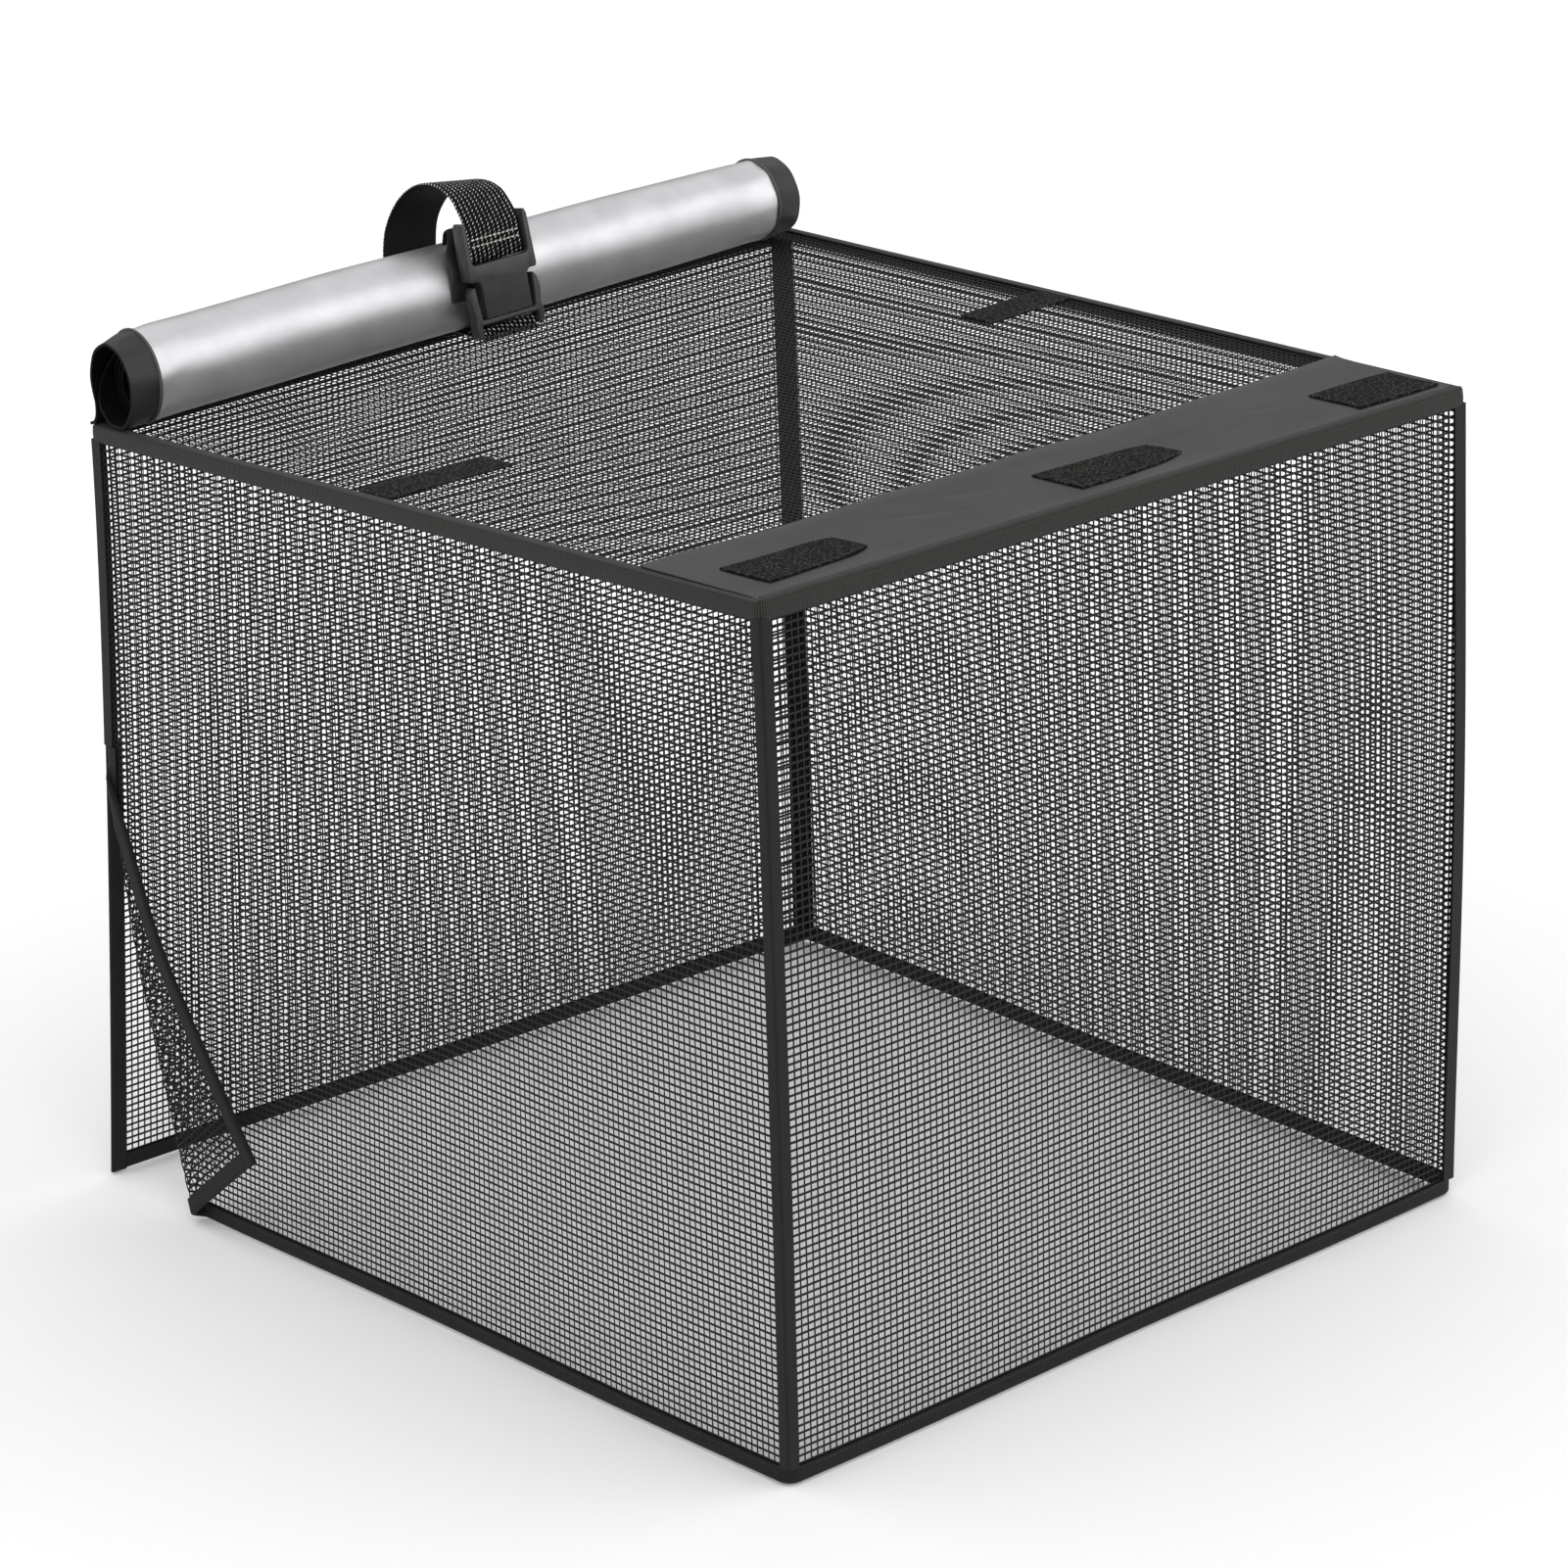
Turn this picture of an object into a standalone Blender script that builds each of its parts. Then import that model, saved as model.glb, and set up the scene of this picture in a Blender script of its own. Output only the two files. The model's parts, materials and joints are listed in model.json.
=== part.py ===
"""Net cover for a box-shaped outdoor unit, with its weather flap rolled up and buckled on the top.

Metres, +Z up. X runs along the two long walls and Y along the two short ones. The origin is the middle of the
top, level with the rim at the front corner, and the cover hangs from there to its hem.
"""
import math

import bmesh
import bpy
from mathutils import Vector

# Overall size: the long side, the short side, and the drop from rim to hem.
LENGTH = 0.760
WIDTH = 0.640
HEIGHT = 0.600

# Cloth. Pieces that lie on each other keep a small clearance.
CLEARANCE = 0.0003
NET_THICKNESS = 0.0012
TAPE_THICKNESS = 0.0012
TAPE_LEG = 0.010
TAPE_STAND = NET_THICKNESS / 2 + CLEARANCE + TAPE_THICKNESS / 2
TAPE_FACE = TAPE_STAND + TAPE_THICKNESS / 2
SEAM_LEG = 0.007
RIM_TOP_LEG = 0.006
MITRE = 0.00022
SHEET_INSET = NET_THICKNESS / 2 + CLEARANCE

# The cloth is looser at the hem than at the rim, and waves a little between its corners.
FLARE_POWER = 1.3
WALL_WAVE = 0.0025
TOP_SAG = 0.004

# The four corners as seen in front of the cover, anticlockwise from above: each rim point and each hem point.
# The rim dips at the slit corner and rises at the back one, and the open slit corner stands off at the hem.
CORNERS = {
    "left": ((-LENGTH / 2, -WIDTH / 2, -0.015), (-LENGTH / 2 - 0.019, -WIDTH / 2 - 0.040, -HEIGHT)),
    "front": ((LENGTH / 2, -WIDTH / 2, 0.000), (LENGTH / 2 - 0.004, -WIDTH / 2 - 0.015, -HEIGHT)),
    "right": ((LENGTH / 2, WIDTH / 2, 0.002), (LENGTH / 2 - 0.005, WIDTH / 2 - 0.016, -HEIGHT)),
    "back": ((-LENGTH / 2 + 0.010, WIDTH / 2 + 0.015, 0.011), (-LENGTH / 2 + 0.004, WIDTH / 2 + 0.002, -HEIGHT)),
}
WALLS = {
    "front_left": ("left", "front"),
    "front_right": ("front", "right"),
    "back_right": ("right", "back"),
    "back_left": ("back", "left"),
}

# The open slit at the left corner: how far up it goes, how far along the hem the turned-out corner reaches,
# and the bend it is turned out round.
SLIT_HEIGHT = 0.350
TURN_ALONG = 0.126
TURN_RADIUS = 0.0060
TURN_ANGLE = math.radians(178)
TURN_STEPS = 9
RIM_ROW = 0.016
SLIT_EDGE = 0.0045

# The coated strip along the front right rim, and the hook-and-loop patches on it and beside it.
STRIP_WIDTH = 0.122
STRIP_THICKNESS = 0.0012
STRIP_WRINKLE = 0.0011
PATCH_THICKNESS = 0.0015
PATCH_WIDTH = 0.050
SIDE_PATCH_WIDTH = 0.036
STRIP_PATCHES = (
    # name, middle across the strip (x), start along it (y), end along it (y), roundness of the far end
    ("strip_patch_left", 0.330, -0.290, -0.202, 0.35),
    ("strip_patch_middle", 0.331, -0.022, 0.077, 0.35),
    ("strip_patch_right", 0.340, 0.232, 0.311, 0.0),
)
SIDE_PATCHES = (
    # name, middle along the rim (x), start (y), end (y)
    ("side_patch_left", -0.039, -0.3120, -0.2080),
    ("side_patch_right", -0.040, 0.2350, 0.3125),
)

# The flap, wound into a roll along the back left rim, with a bound edge at each end.
ROLL_LIFT = 0.0036
ROLL_POINTS = 34
ROLL_FLAT = 0.97
ROLL_BAND = 0.0232
ROLL_BAND_WALL = 0.0026
NECK_OVER = math.radians(205)
NECK_UNDER = math.radians(222)
NECK_REACH = 0.0040
NECK_THICKNESS = 0.0022
ROLL_ENDS = (-0.3215, 0.3165)
ROLL_ROWS = (
    # y, middle x, half width, half height
    (-0.3215, -0.3470, 0.0270, 0.0322),
    (-0.2980, -0.3480, 0.0318, 0.0345),
    (-0.2450, -0.3490, 0.0336, 0.0346),
    (-0.1300, -0.3500, 0.0342, 0.0348),
    (-0.0500, -0.3500, 0.0334, 0.0342),
    (0.0050, -0.3500, 0.0332, 0.0340),
    (0.0600, -0.3500, 0.0338, 0.0346),
    (0.1700, -0.3515, 0.0336, 0.0338),
    (0.2930, -0.3530, 0.0318, 0.0318),
    (0.3165, -0.3535, 0.0304, 0.0306),
)

# Webbing and the side-release buckle that hold the roll. They rise with it towards the back.
STRAP_RISE = math.radians(2.1)
STRAP_SIDE = Vector((0.0, math.cos(STRAP_RISE), math.sin(STRAP_RISE)))
WEBBING_WIDTH = 0.050
WEBBING_THICKNESS = 0.0016
WEBBING_STEPS = 4
STRAP_ARC = (
    # x, z, middle of the webbing (y)
    (-0.3792, -0.0150, -0.024),
    (-0.3793, -0.0080, -0.024),
    (-0.3811, -0.0020, -0.024),
    (-0.3830, 0.0070, -0.023),
    (-0.3852, 0.0200, -0.022),
    (-0.3864, 0.0360, -0.021),
    (-0.3895, 0.0550, -0.019),
    (-0.3910, 0.0770, -0.014),
    (-0.3830, 0.0960, -0.008),
    (-0.3665, 0.1090, -0.003),
    (-0.3460, 0.1130, 0.000),
    (-0.3275, 0.1080, 0.001),
    (-0.3165, 0.0970, 0.0015),
    (-0.3090, 0.0850, 0.0020),
)
STRAP_TAIL = (
    (-0.3400, 0.0702, 0.002),
    (-0.3392, 0.0740, 0.002),
    (-0.3362, 0.0800, 0.001),
    (-0.3312, 0.0832, 0.000),
    (-0.3272, 0.0805, -0.002),
    (-0.3245, 0.0735, -0.005),
    (-0.3225, 0.0655, -0.008),
    (-0.3162, 0.0515, -0.009),
    (-0.3154, 0.0400, -0.010),
    (-0.3155, 0.0310, -0.010),
)
BUCKLE_FOOT = Vector((-0.3000, 0.0050, 0.0010))
BUCKLE_LEAN = math.radians(7.8)
BUCKLE_WIDTH = 0.064
BUCKLE_DEPTH = 0.0120
BUCKLE_SPLIT = 0.0165
BUCKLE_SHOULDER = 0.046
BUCKLE_SHELL_TOP = 0.058
BUCKLE_TOP = 0.091
RAIL_INSIDE = 0.0265
BAR_RADIUS = 0.0017
BAR_LOOP = BAR_RADIUS + CLEARANCE + WEBBING_THICKNESS / 2
FEMALE_BAR = 0.0640
MALE_BAR = 0.0062

# Finish of each piece: colour, roughness and metallic.
FINISHES = {
    "net": ((0.016, 0.016, 0.016), 0.75, 0.0),
    "binding_tape": ((0.018, 0.018, 0.018), 0.70, 0.0),
    "coated_cloth": ((0.060, 0.060, 0.058), 0.55, 0.0),
    "hook_and_loop": ((0.010, 0.010, 0.010), 0.95, 0.0),
    "silver_cloth": ((0.600, 0.600, 0.610), 0.40, 0.4),
    "webbing": ((0.014, 0.014, 0.014), 0.80, 0.0),
    "buckle_plastic": ((0.035, 0.035, 0.034), 0.45, 0.0),
}


def clear_scene():
    """Removes what the new scene starts with."""
    for old in list(bpy.data.objects):
        bpy.data.objects.remove(old)


def finish(name):
    """The material of a finish, made once."""
    found = bpy.data.materials.get(name)
    if found:
        return found
    colour, roughness, metallic = FINISHES[name]
    material = bpy.data.materials.new(name)
    material.use_nodes = True
    shader = material.node_tree.nodes["Principled BSDF"]
    shader.inputs["Base Color"].default_value = (*colour, 1.0)
    shader.inputs["Roughness"].default_value = roughness
    shader.inputs["Metallic"].default_value = metallic
    return material


def make_object(name, shape, finish_name, smooth_under=35):
    """A named object of a closed bmesh, its faces turned outwards."""
    bmesh.ops.recalc_face_normals(shape, faces=shape.faces[:])
    mesh = bpy.data.meshes.new(name)
    shape.to_mesh(mesh)
    shape.free()
    mesh.materials.append(finish(finish_name))
    mesh.shade_smooth()
    mesh.set_sharp_from_angle(angle=math.radians(smooth_under))
    made = bpy.data.objects.new(name, mesh)
    bpy.context.scene.collection.objects.link(made)
    return made


def breaks(first, last, steps):
    """Evenly spaced values from first to last."""
    return [first + (last - first) * i / steps for i in range(steps + 1)]


def flat_grid(us, vs):
    """A flat mesh with a point at each pair of values."""
    flat = bmesh.new()
    rows = [[flat.verts.new((u, v, 0.0)) for u in us] for v in vs]
    for low, high in zip(rows, rows[1:]):
        for i in range(len(us) - 1):
            flat.faces.new((low[i], low[i + 1], high[i + 1], high[i]))
    return flat


def thick_sheet(flat, place, thickness):
    """A closed sheet: each flat point is placed twice, half the thickness to either side of the cloth's middle."""
    bmesh.ops.triangulate(flat, faces=flat.faces[:])
    sheet = bmesh.new()
    half = thickness / 2
    front = {v: sheet.verts.new(place(v.co.x, v.co.y, half)) for v in flat.verts}
    back = {v: sheet.verts.new(place(v.co.x, v.co.y, -half)) for v in flat.verts}
    for face in flat.faces:
        sheet.faces.new([front[v] for v in face.verts])
        sheet.faces.new([back[v] for v in reversed(face.verts)])
    for edge in flat.edges:
        if edge.is_boundary:
            a = edge.link_loops[0].vert
            b = edge.other_vert(a)
            sheet.faces.new((front[a], back[a], back[b], front[b]))
    flat.free()
    return sheet


def between(rows, key):
    """A row of a table at a key of its first column, by straight lines between its rows."""
    for low, high in zip(rows, rows[1:]):
        if key <= high[0]:
            break
    part = (key - low[0]) / (high[0] - low[0])
    return [a + (b - a) * part for a, b in zip(low, high)]


class Wall:
    """One upright side of the cover, from its first corner to its last."""

    def __init__(self, first, last):
        self.rim_first, self.hem_first = (Vector(p) for p in CORNERS[first])
        self.rim_last, self.hem_last = (Vector(p) for p in CORNERS[last])
        run = self.rim_last - self.rim_first
        run.z = 0.0
        self.length = run.length
        self.out = run.cross(Vector((0, 0, 1))).normalized()

    def middle(self, along, up):
        """Middle of the cloth, along from the first corner and up from the hem."""
        across = along / self.length
        drop = 1 - up / HEIGHT
        rim = self.rim_first.lerp(self.rim_last, across)
        hem = self.hem_first.lerp(self.hem_last, across)
        point = rim.lerp(hem, max(drop, 0.0) ** FLARE_POWER)
        point.z = rim.z + (hem.z - rim.z) * drop
        inside = min(max(across, 0.0), 1.0)
        wave = math.sin(3 * math.pi * inside) * math.sin(math.pi * min(max(drop, 0.0), 1.0) * 0.85)
        return point + self.out * WALL_WAVE * wave

    def place(self, along, up, out):
        """A point of the wall, out from the middle of its cloth."""
        step = 0.001
        here = self.middle(along, up)
        sideways = self.middle(along + step, up) - here
        upwards = self.middle(along, up + step) - here
        return here + sideways.cross(upwards).normalized() * out

    def below_rim(self, depth):
        """How far up the wall a place is that lies a given depth below the rim at its last corner."""
        return HEIGHT * (1 - depth / (self.rim_last.z - self.hem_last.z))

    def rim(self, along, out, up):
        """A point by the rim, level with it and square to it."""
        return self.rim_first.lerp(self.rim_last, along / self.length) + self.out * out + Vector((0, 0, up))


def past_bend(along, up):
    """How far a place of the turned-out wall lies past the start of its bend, square to it."""
    reach = math.hypot(TURN_ALONG, SLIT_HEIGHT)
    return (TURN_ALONG * SLIT_HEIGHT - SLIT_HEIGHT * along - TURN_ALONG * up) / reach


def cut_along_bend(flat, past, chosen):
    """Cuts the chosen flat faces along the lines of the bend, so that all its layers bend in the same places."""
    start = past(0.0, 0.0)
    slope = Vector((past(1.0, 0.0) - start, past(0.0, 1.0) - start, 0.0))
    for line in breaks(0.0, TURN_RADIUS * TURN_ANGLE, TURN_STEPS):
        faces = [f for f in flat.faces if chosen(f.calc_center_median())]
        edges = list({e: None for f in faces for e in f.edges})
        verts = list({v: None for f in faces for v in f.verts})
        on_line = slope * ((line - start) / slope.length_squared)
        bmesh.ops.bisect_plane(flat, geom=faces + edges + verts, dist=1e-6, plane_co=on_line, plane_no=slope)


class TurnedWall(Wall):
    """The wall whose lower first corner is turned out and back round a soft bend that runs slantwise."""

    def place(self, along, up, out):
        reach = math.hypot(TURN_ALONG, SLIT_HEIGHT)
        past = past_bend(along, up)
        if past <= 0:
            return super().place(along, up, out)
        turn = min(past / TURN_RADIUS, TURN_ANGLE)
        beyond = past - turn * TURN_RADIUS
        travelled = TURN_RADIUS * math.sin(turn) + beyond * math.cos(turn)
        lift = TURN_RADIUS * (1 - math.cos(turn)) + beyond * math.sin(turn)
        shift = (past - travelled + out * math.sin(turn)) / reach
        return super().place(along + shift * SLIT_HEIGHT, up + shift * TURN_ALONG, lift + out * math.cos(turn))


def all_walls():
    """The four walls by name."""
    walls = {name: Wall(*ends) for name, ends in WALLS.items()}
    walls["front_left"] = TurnedWall(*WALLS["front_left"])
    return walls


def top_place(x, y, up):
    """A point of the top over a plain plan position: the rim's four corners blended, with a little sag."""
    across = (x + LENGTH / 2) / LENGTH
    deep = (y + WIDTH / 2) / WIDTH
    near = Vector(CORNERS["left"][0]).lerp(Vector(CORNERS["front"][0]), across)
    far = Vector(CORNERS["back"][0]).lerp(Vector(CORNERS["right"][0]), across)
    sag = TOP_SAG * math.sin(math.pi * min(max(across, 0.0), 1.0)) * math.sin(math.pi * min(max(deep, 0.0), 1.0))
    return near.lerp(far, deep) + Vector((0, 0, up - sag))


def strip_wrinkle(x, y):
    """Height of the strip's soft wrinkles, never below the net."""
    slant = math.sin(31 * y + 40 * (x - LENGTH / 2)) * math.sin(11 * y + 0.6)
    return STRIP_WRINKLE * (1 + slant)


def net_top():
    """The top panel of net."""
    inset = 0.0012
    flat = flat_grid(breaks(-LENGTH / 2 + inset, LENGTH / 2 - inset, 14), breaks(-WIDTH / 2 + inset, WIDTH / 2 - inset, 12))
    make_object("net_top", thick_sheet(flat, top_place, NET_THICKNESS), "net")


def wall_rows():
    """Heights of a wall panel's rows, with a close one under the rim tape."""
    return breaks(0.0, HEIGHT - RIM_ROW, 9) + [HEIGHT + NET_THICKNESS / 2]


def plain_net_wall(name, wall, first_inset, last_inset):
    """A wall panel of net."""
    flat = flat_grid(breaks(first_inset, wall.length - last_inset, 14), wall_rows())
    make_object(name, thick_sheet(flat, wall.place, NET_THICKNESS), "net")


def turned_net_wall(name, wall):
    """The wall panel with the turned-out corner, cut along the bend so that the bend is smooth."""
    along = [SLIT_EDGE] + breaks(0.03, wall.length - SHEET_INSET, 16)
    flat = flat_grid(along, wall_rows())
    cut_along_bend(flat, past_bend, lambda middle: True)
    make_object(name, thick_sheet(flat, wall.place, NET_THICKNESS), "net")


def folded_across(width_from_fold, stand):
    """Where a tape folded over an edge lies: how far in from the edge, and how far out from the cloth."""
    quarter = TAPE_STAND * math.pi / 2
    if abs(width_from_fold) <= quarter:
        angle = width_from_fold / TAPE_STAND
        return -(TAPE_STAND + stand) * math.cos(angle), (TAPE_STAND + stand) * math.sin(angle)
    side = math.copysign(1.0, width_from_fold)
    return abs(width_from_fold) - quarter, side * (TAPE_STAND + stand)


def folded_widths(leg_steps):
    """Breaks across a folded tape: a leg, the bend over the edge, and a leg."""
    quarter = TAPE_STAND * math.pi / 2
    leg = breaks(quarter, quarter + TAPE_LEG, leg_steps)
    return [-w for w in reversed(leg)] + breaks(-quarter, quarter, 4)[1:-1] + leg


def cut_tape_along_bend(flat, place_on_wall):
    """Cuts a folded tape along the bend: each leg, and the fold. place_on_wall turns its run and inset into a wall's."""
    quarter = TAPE_STAND * math.pi / 2
    for side in (1, -1):
        cut_along_bend(flat, lambda run, width, s=side: past_bend(*place_on_wall(run, s * width - quarter)),
                       lambda middle, s=side: s * middle.y > quarter)
    cut_along_bend(flat, lambda run, width: past_bend(*place_on_wall(run, 0.0)),
                   lambda middle: abs(middle.y) < quarter)


def hem_binding(name, wall, first, last, steps, turned=False):
    """Tape folded over the hem. first and last say how each end is set off from its corner, by the tape's stand."""

    run = last(0) - first(0)

    def place(along, width, stand):
        inward, out = folded_across(width, stand)
        return wall.place(first(out) + along / run * (last(out) - first(out)), inward, out)

    flat = flat_grid(breaks(0.0, run, steps), folded_widths(1))
    if turned:
        cut_tape_along_bend(flat, lambda along, inset: (first(0) + along, inset))
    make_object(name, thick_sheet(flat, place, TAPE_THICKNESS), "binding_tape")


def slit_binding(name, edge_place, steps, turned=False):
    """Tape folded over an edge of the slit, from the hem to the slit's top."""

    def place(up, width, stand):
        inward, out = folded_across(width, stand)
        return edge_place(inward, up, out)

    flat = flat_grid(breaks(-TAPE_FACE, SLIT_HEIGHT, steps), folded_widths(1))
    if turned:
        cut_tape_along_bend(flat, lambda up, inset: (SLIT_EDGE + inset, up))
    make_object(name, thick_sheet(flat, place, TAPE_THICKNESS), "binding_tape")


def rim_binding(name, wall, with_top_leg):
    """Tape along the rim: a leg down the wall and, where no strip covers it, one over the edge of the top."""
    quarter = TAPE_STAND * math.pi / 2
    down = [-TAPE_LEG, -TAPE_LEG / 2]
    widths = down + (breaks(0.0, quarter, 4) + [quarter + RIM_TOP_LEG] if with_top_leg else [NET_THICKNESS / 2])

    def place(part, width, stand):
        radius = TAPE_STAND + stand
        if width <= 0:
            across = -radius + MITRE + part * (wall.length + 2 * radius - 2 * MITRE)
            return wall.place(across, wall.below_rim(-width), radius)
        if not with_top_leg:
            out, up = radius, width
        elif width <= quarter:
            out, up = radius * math.cos(width / TAPE_STAND), radius * math.sin(width / TAPE_STAND)
        else:
            out, up = quarter - width, radius
        first = -out + MITRE
        last = wall.length + out - MITRE
        return wall.rim(first + part * (last - first), out, up)

    make_object(name, thick_sheet(flat_grid(breaks(0.0, 1.0, 8), widths), place, TAPE_THICKNESS), "binding_tape")


def corner_tape(name, wall, next_wall, leg, lowest):
    """Tape round an upright corner, a leg on each of its walls."""
    quarter = TAPE_STAND * math.pi / 2

    def place(up, width, stand):
        out = TAPE_STAND + stand
        if width < 0:
            return wall.place(wall.length + width, up, out)
        if width > quarter:
            return next_wall.place(width - quarter, up, out)
        corner = next_wall.place(0.0, up, 0.0)
        angle = width / TAPE_STAND
        return corner + (wall.out * math.cos(angle) + next_wall.out * math.sin(angle)) * out

    widths = [-leg] + breaks(0.0, quarter, 3) + [quarter + leg]
    highest = min(side.below_rim(TAPE_LEG + CLEARANCE) for side in (wall, next_wall))
    ups = breaks(lowest, highest, 10)
    make_object(name, thick_sheet(flat_grid(ups, widths), place, TAPE_THICKNESS), "binding_tape")


def front_strip():
    """The coated strip along the front right rim, over the net and the rim tape."""
    base = NET_THICKNESS / 2 + CLEARANCE + STRIP_THICKNESS / 2
    side = WIDTH / 2 - RIM_TOP_LEG - CLEARANCE
    outer = LENGTH / 2 + TAPE_FACE

    def place(x, y, stand):
        return top_place(x, y, base + stand + strip_wrinkle(x, y))

    flat = flat_grid(breaks(LENGTH / 2 - STRIP_WIDTH, outer, 8), breaks(-side, side, 30))
    make_object("front_strip", thick_sheet(flat, place, STRIP_THICKNESS), "coated_cloth")


def patch(name, middle, width, start, end, roundness, base, lift):
    """A flat patch of hook-and-loop tape. Its far end may be rounded off."""

    def place(part, along, stand):
        past = max(0.0, (along - start) / (end - start) - (1 - roundness)) / max(roundness, 1e-6)
        half = width / 2 * math.sqrt(max(0.0, 1 - 0.55 * past * past))
        x = middle + part * half
        return top_place(x, along, base + stand + lift(x, along))

    flat = flat_grid(breaks(-1.0, 1.0, 4), breaks(start, end, 8))
    make_object(name, thick_sheet(flat, place, PATCH_THICKNESS), "hook_and_loop")


def all_patches():
    """Three patches on the strip, and one on the net at each end of it."""
    on_strip = NET_THICKNESS / 2 + CLEARANCE + STRIP_THICKNESS + CLEARANCE + PATCH_THICKNESS / 2
    for name, middle, start, end, roundness in STRIP_PATCHES:
        patch(name, middle, PATCH_WIDTH, start, end, roundness, on_strip, strip_wrinkle)
    on_net = NET_THICKNESS / 2 + CLEARANCE + PATCH_THICKNESS / 2
    for name, middle, start, end in SIDE_PATCHES:
        patch(name, middle, SIDE_PATCH_WIDTH, start, end, 0.0, on_net, lambda x, y: 0.0)


def roll_outline(y, rim_wall):
    """Outline of the wound flap and of the neck that runs from it to the rim, anticlockwise from the neck's root."""
    _, middle, half_width, half_height = between(ROLL_ROWS, y)
    centre = top_place(middle, y, ROLL_LIFT).z + half_height * ROLL_FLAT
    rim = rim_wall.rim(rim_wall.length * (WIDTH / 2 - y) / WIDTH, 0.0, 0.0)
    rest = rim.z + TAPE_FACE + CLEARANCE
    points = []
    for angle in breaks(NECK_UNDER, NECK_OVER + 2 * math.pi, ROLL_POINTS):
        height = max(math.sin(angle), -ROLL_FLAT) * half_height
        points.append(Vector((middle + half_width * math.cos(angle), y, centre + height)))
    points.append(Vector((rim.x - NECK_REACH, y, rest + NECK_THICKNESS)))
    points.append(Vector((rim.x - NECK_REACH, y, rest)))
    points.append(Vector((rim.x + NECK_REACH / 4, y, rest)))
    return points, Vector((middle, y, centre))


def roll_hole(y, rim_wall):
    """Outline of a roll end's hollow."""
    centre = roll_outline(y, rim_wall)[1]
    _, _, half_width, half_height = between(ROLL_ROWS, y)
    points = []
    for angle in breaks(0.0, 2 * math.pi, ROLL_POINTS)[:-1]:
        wide = (half_width - ROLL_BAND_WALL) * math.cos(angle)
        high = (half_height - ROLL_BAND_WALL) * max(math.sin(angle), -ROLL_FLAT)
        points.append(centre + Vector((wide, 0, high)))
    return points


def add_ring(shape, points):
    """New points of a mesh."""
    return [shape.verts.new(p) for p in points]


def join_rings(shape, first, second):
    """Faces between two rings of as many points."""
    for i in range(len(first)):
        j = (i + 1) % len(first)
        shape.faces.new((first[i], first[j], second[j], second[i]))


def cover_roll(rim_wall):
    """The wound flap between its two bound ends."""
    shape = bmesh.new()
    first = ROLL_ENDS[0] + ROLL_BAND + CLEARANCE
    last = ROLL_ENDS[1] - ROLL_BAND - CLEARANCE
    stations = [first] + [row[0] for row in ROLL_ROWS if first < row[0] < last] + [last]
    rings = [add_ring(shape, roll_outline(y, rim_wall)[0]) for y in stations]
    for ring, after in zip(rings, rings[1:]):
        join_rings(shape, ring, after)
    shape.faces.new(rings[0])
    shape.faces.new(rings[-1])
    make_object("cover_roll", shape, "silver_cloth")


def roll_binding(name, start, end, rim_wall):
    """The bound edge of the wound flap: a short hollow ring with the neck's end on it."""
    shape = bmesh.new()
    stations = (start, (start + end) / 2, end)
    outer = [add_ring(shape, roll_outline(y, rim_wall)[0]) for y in stations]
    inner = [add_ring(shape, roll_hole(y, rim_wall)) for y in stations]
    for rings in (outer, inner):
        for ring, after in zip(rings, rings[1:]):
            join_rings(shape, ring, after)
    for i in (0, -1):
        ends = set(outer[i] + inner[i])
        rim = [e for e in shape.edges if e.is_boundary and e.verts[0] in ends and e.verts[1] in ends]
        bmesh.ops.triangle_fill(shape, edges=rim, use_beauty=True)
    make_object(name, shape, "binding_tape")


def smooth_path(rows, steps):
    """A smooth line through a table's points, by Catmull-Rom pieces."""
    points = [Vector((x, y, z)) for x, z, y in rows]
    padded = [points[0] * 2 - points[1]] + points + [points[-1] * 2 - points[-2]]
    line = []
    for a, b, c, d in zip(padded, padded[1:], padded[2:], padded[3:]):
        for i in range(steps):
            t = i / steps
            line.append(((b * 2) + (c - a) * t + (a * 2 - b * 5 + c * 4 - d) * t * t
                         + (b * 3 - a - c * 3 + d) * t ** 3) / 2)
    return line + [points[-1]]


def bar_loop(centre, start, end, steps):
    """Points of the webbing's turn round a buckle's bar. Angles are measured in the buckle's side view."""
    return [centre + buckle_turn(angle) * BAR_LOOP for angle in breaks(start, end, steps)]


def webbing(name, line):
    """Webbing along a line, its width along the roll."""
    ends = [line[0] * 2 - line[1]] + line + [line[-1] * 2 - line[-2]]

    def place(index, width, stand):
        i = round(index)
        run = ends[i + 2] - ends[i]
        normal = run.cross(STRAP_SIDE).normalized()
        return line[i] + STRAP_SIDE * width + normal * stand

    half = WEBBING_WIDTH / 2
    flat = flat_grid(range(len(line)), breaks(-half, half, 2))
    make_object(name, thick_sheet(flat, place, WEBBING_THICKNESS), "webbing")


def buckle_place(width, height, depth):
    """A point of the buckle: across it, up it from its foot, and out towards its face."""
    out = Vector((math.cos(BUCKLE_LEAN), 0, math.sin(BUCKLE_LEAN)))
    return BUCKLE_FOOT + STRAP_SIDE * width + out.cross(STRAP_SIDE) * height + out * depth


def buckle_turn(angle):
    """A direction in the buckle's side view: 0 points out of its face and a quarter turn points up it."""
    return buckle_place(0, math.sin(angle), math.cos(angle)) - buckle_place(0, 0, 0)


def strap_arc():
    """The loose loop of webbing over the roll, down to its sewn turn round the female half's bar."""
    centre = buckle_place(0, FEMALE_BAR, 0)
    down_front = [buckle_place(0, FEMALE_BAR + 0.007, BAR_LOOP)]
    turn = bar_loop(centre, 0.0, -math.pi, 8)
    up_back = [buckle_place(0, FEMALE_BAR + h, -BAR_LOOP) for h in (0.007, 0.014, 0.020)]
    webbing("strap_arc", smooth_path(STRAP_ARC, WEBBING_STEPS) + down_front + turn + up_back)


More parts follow.
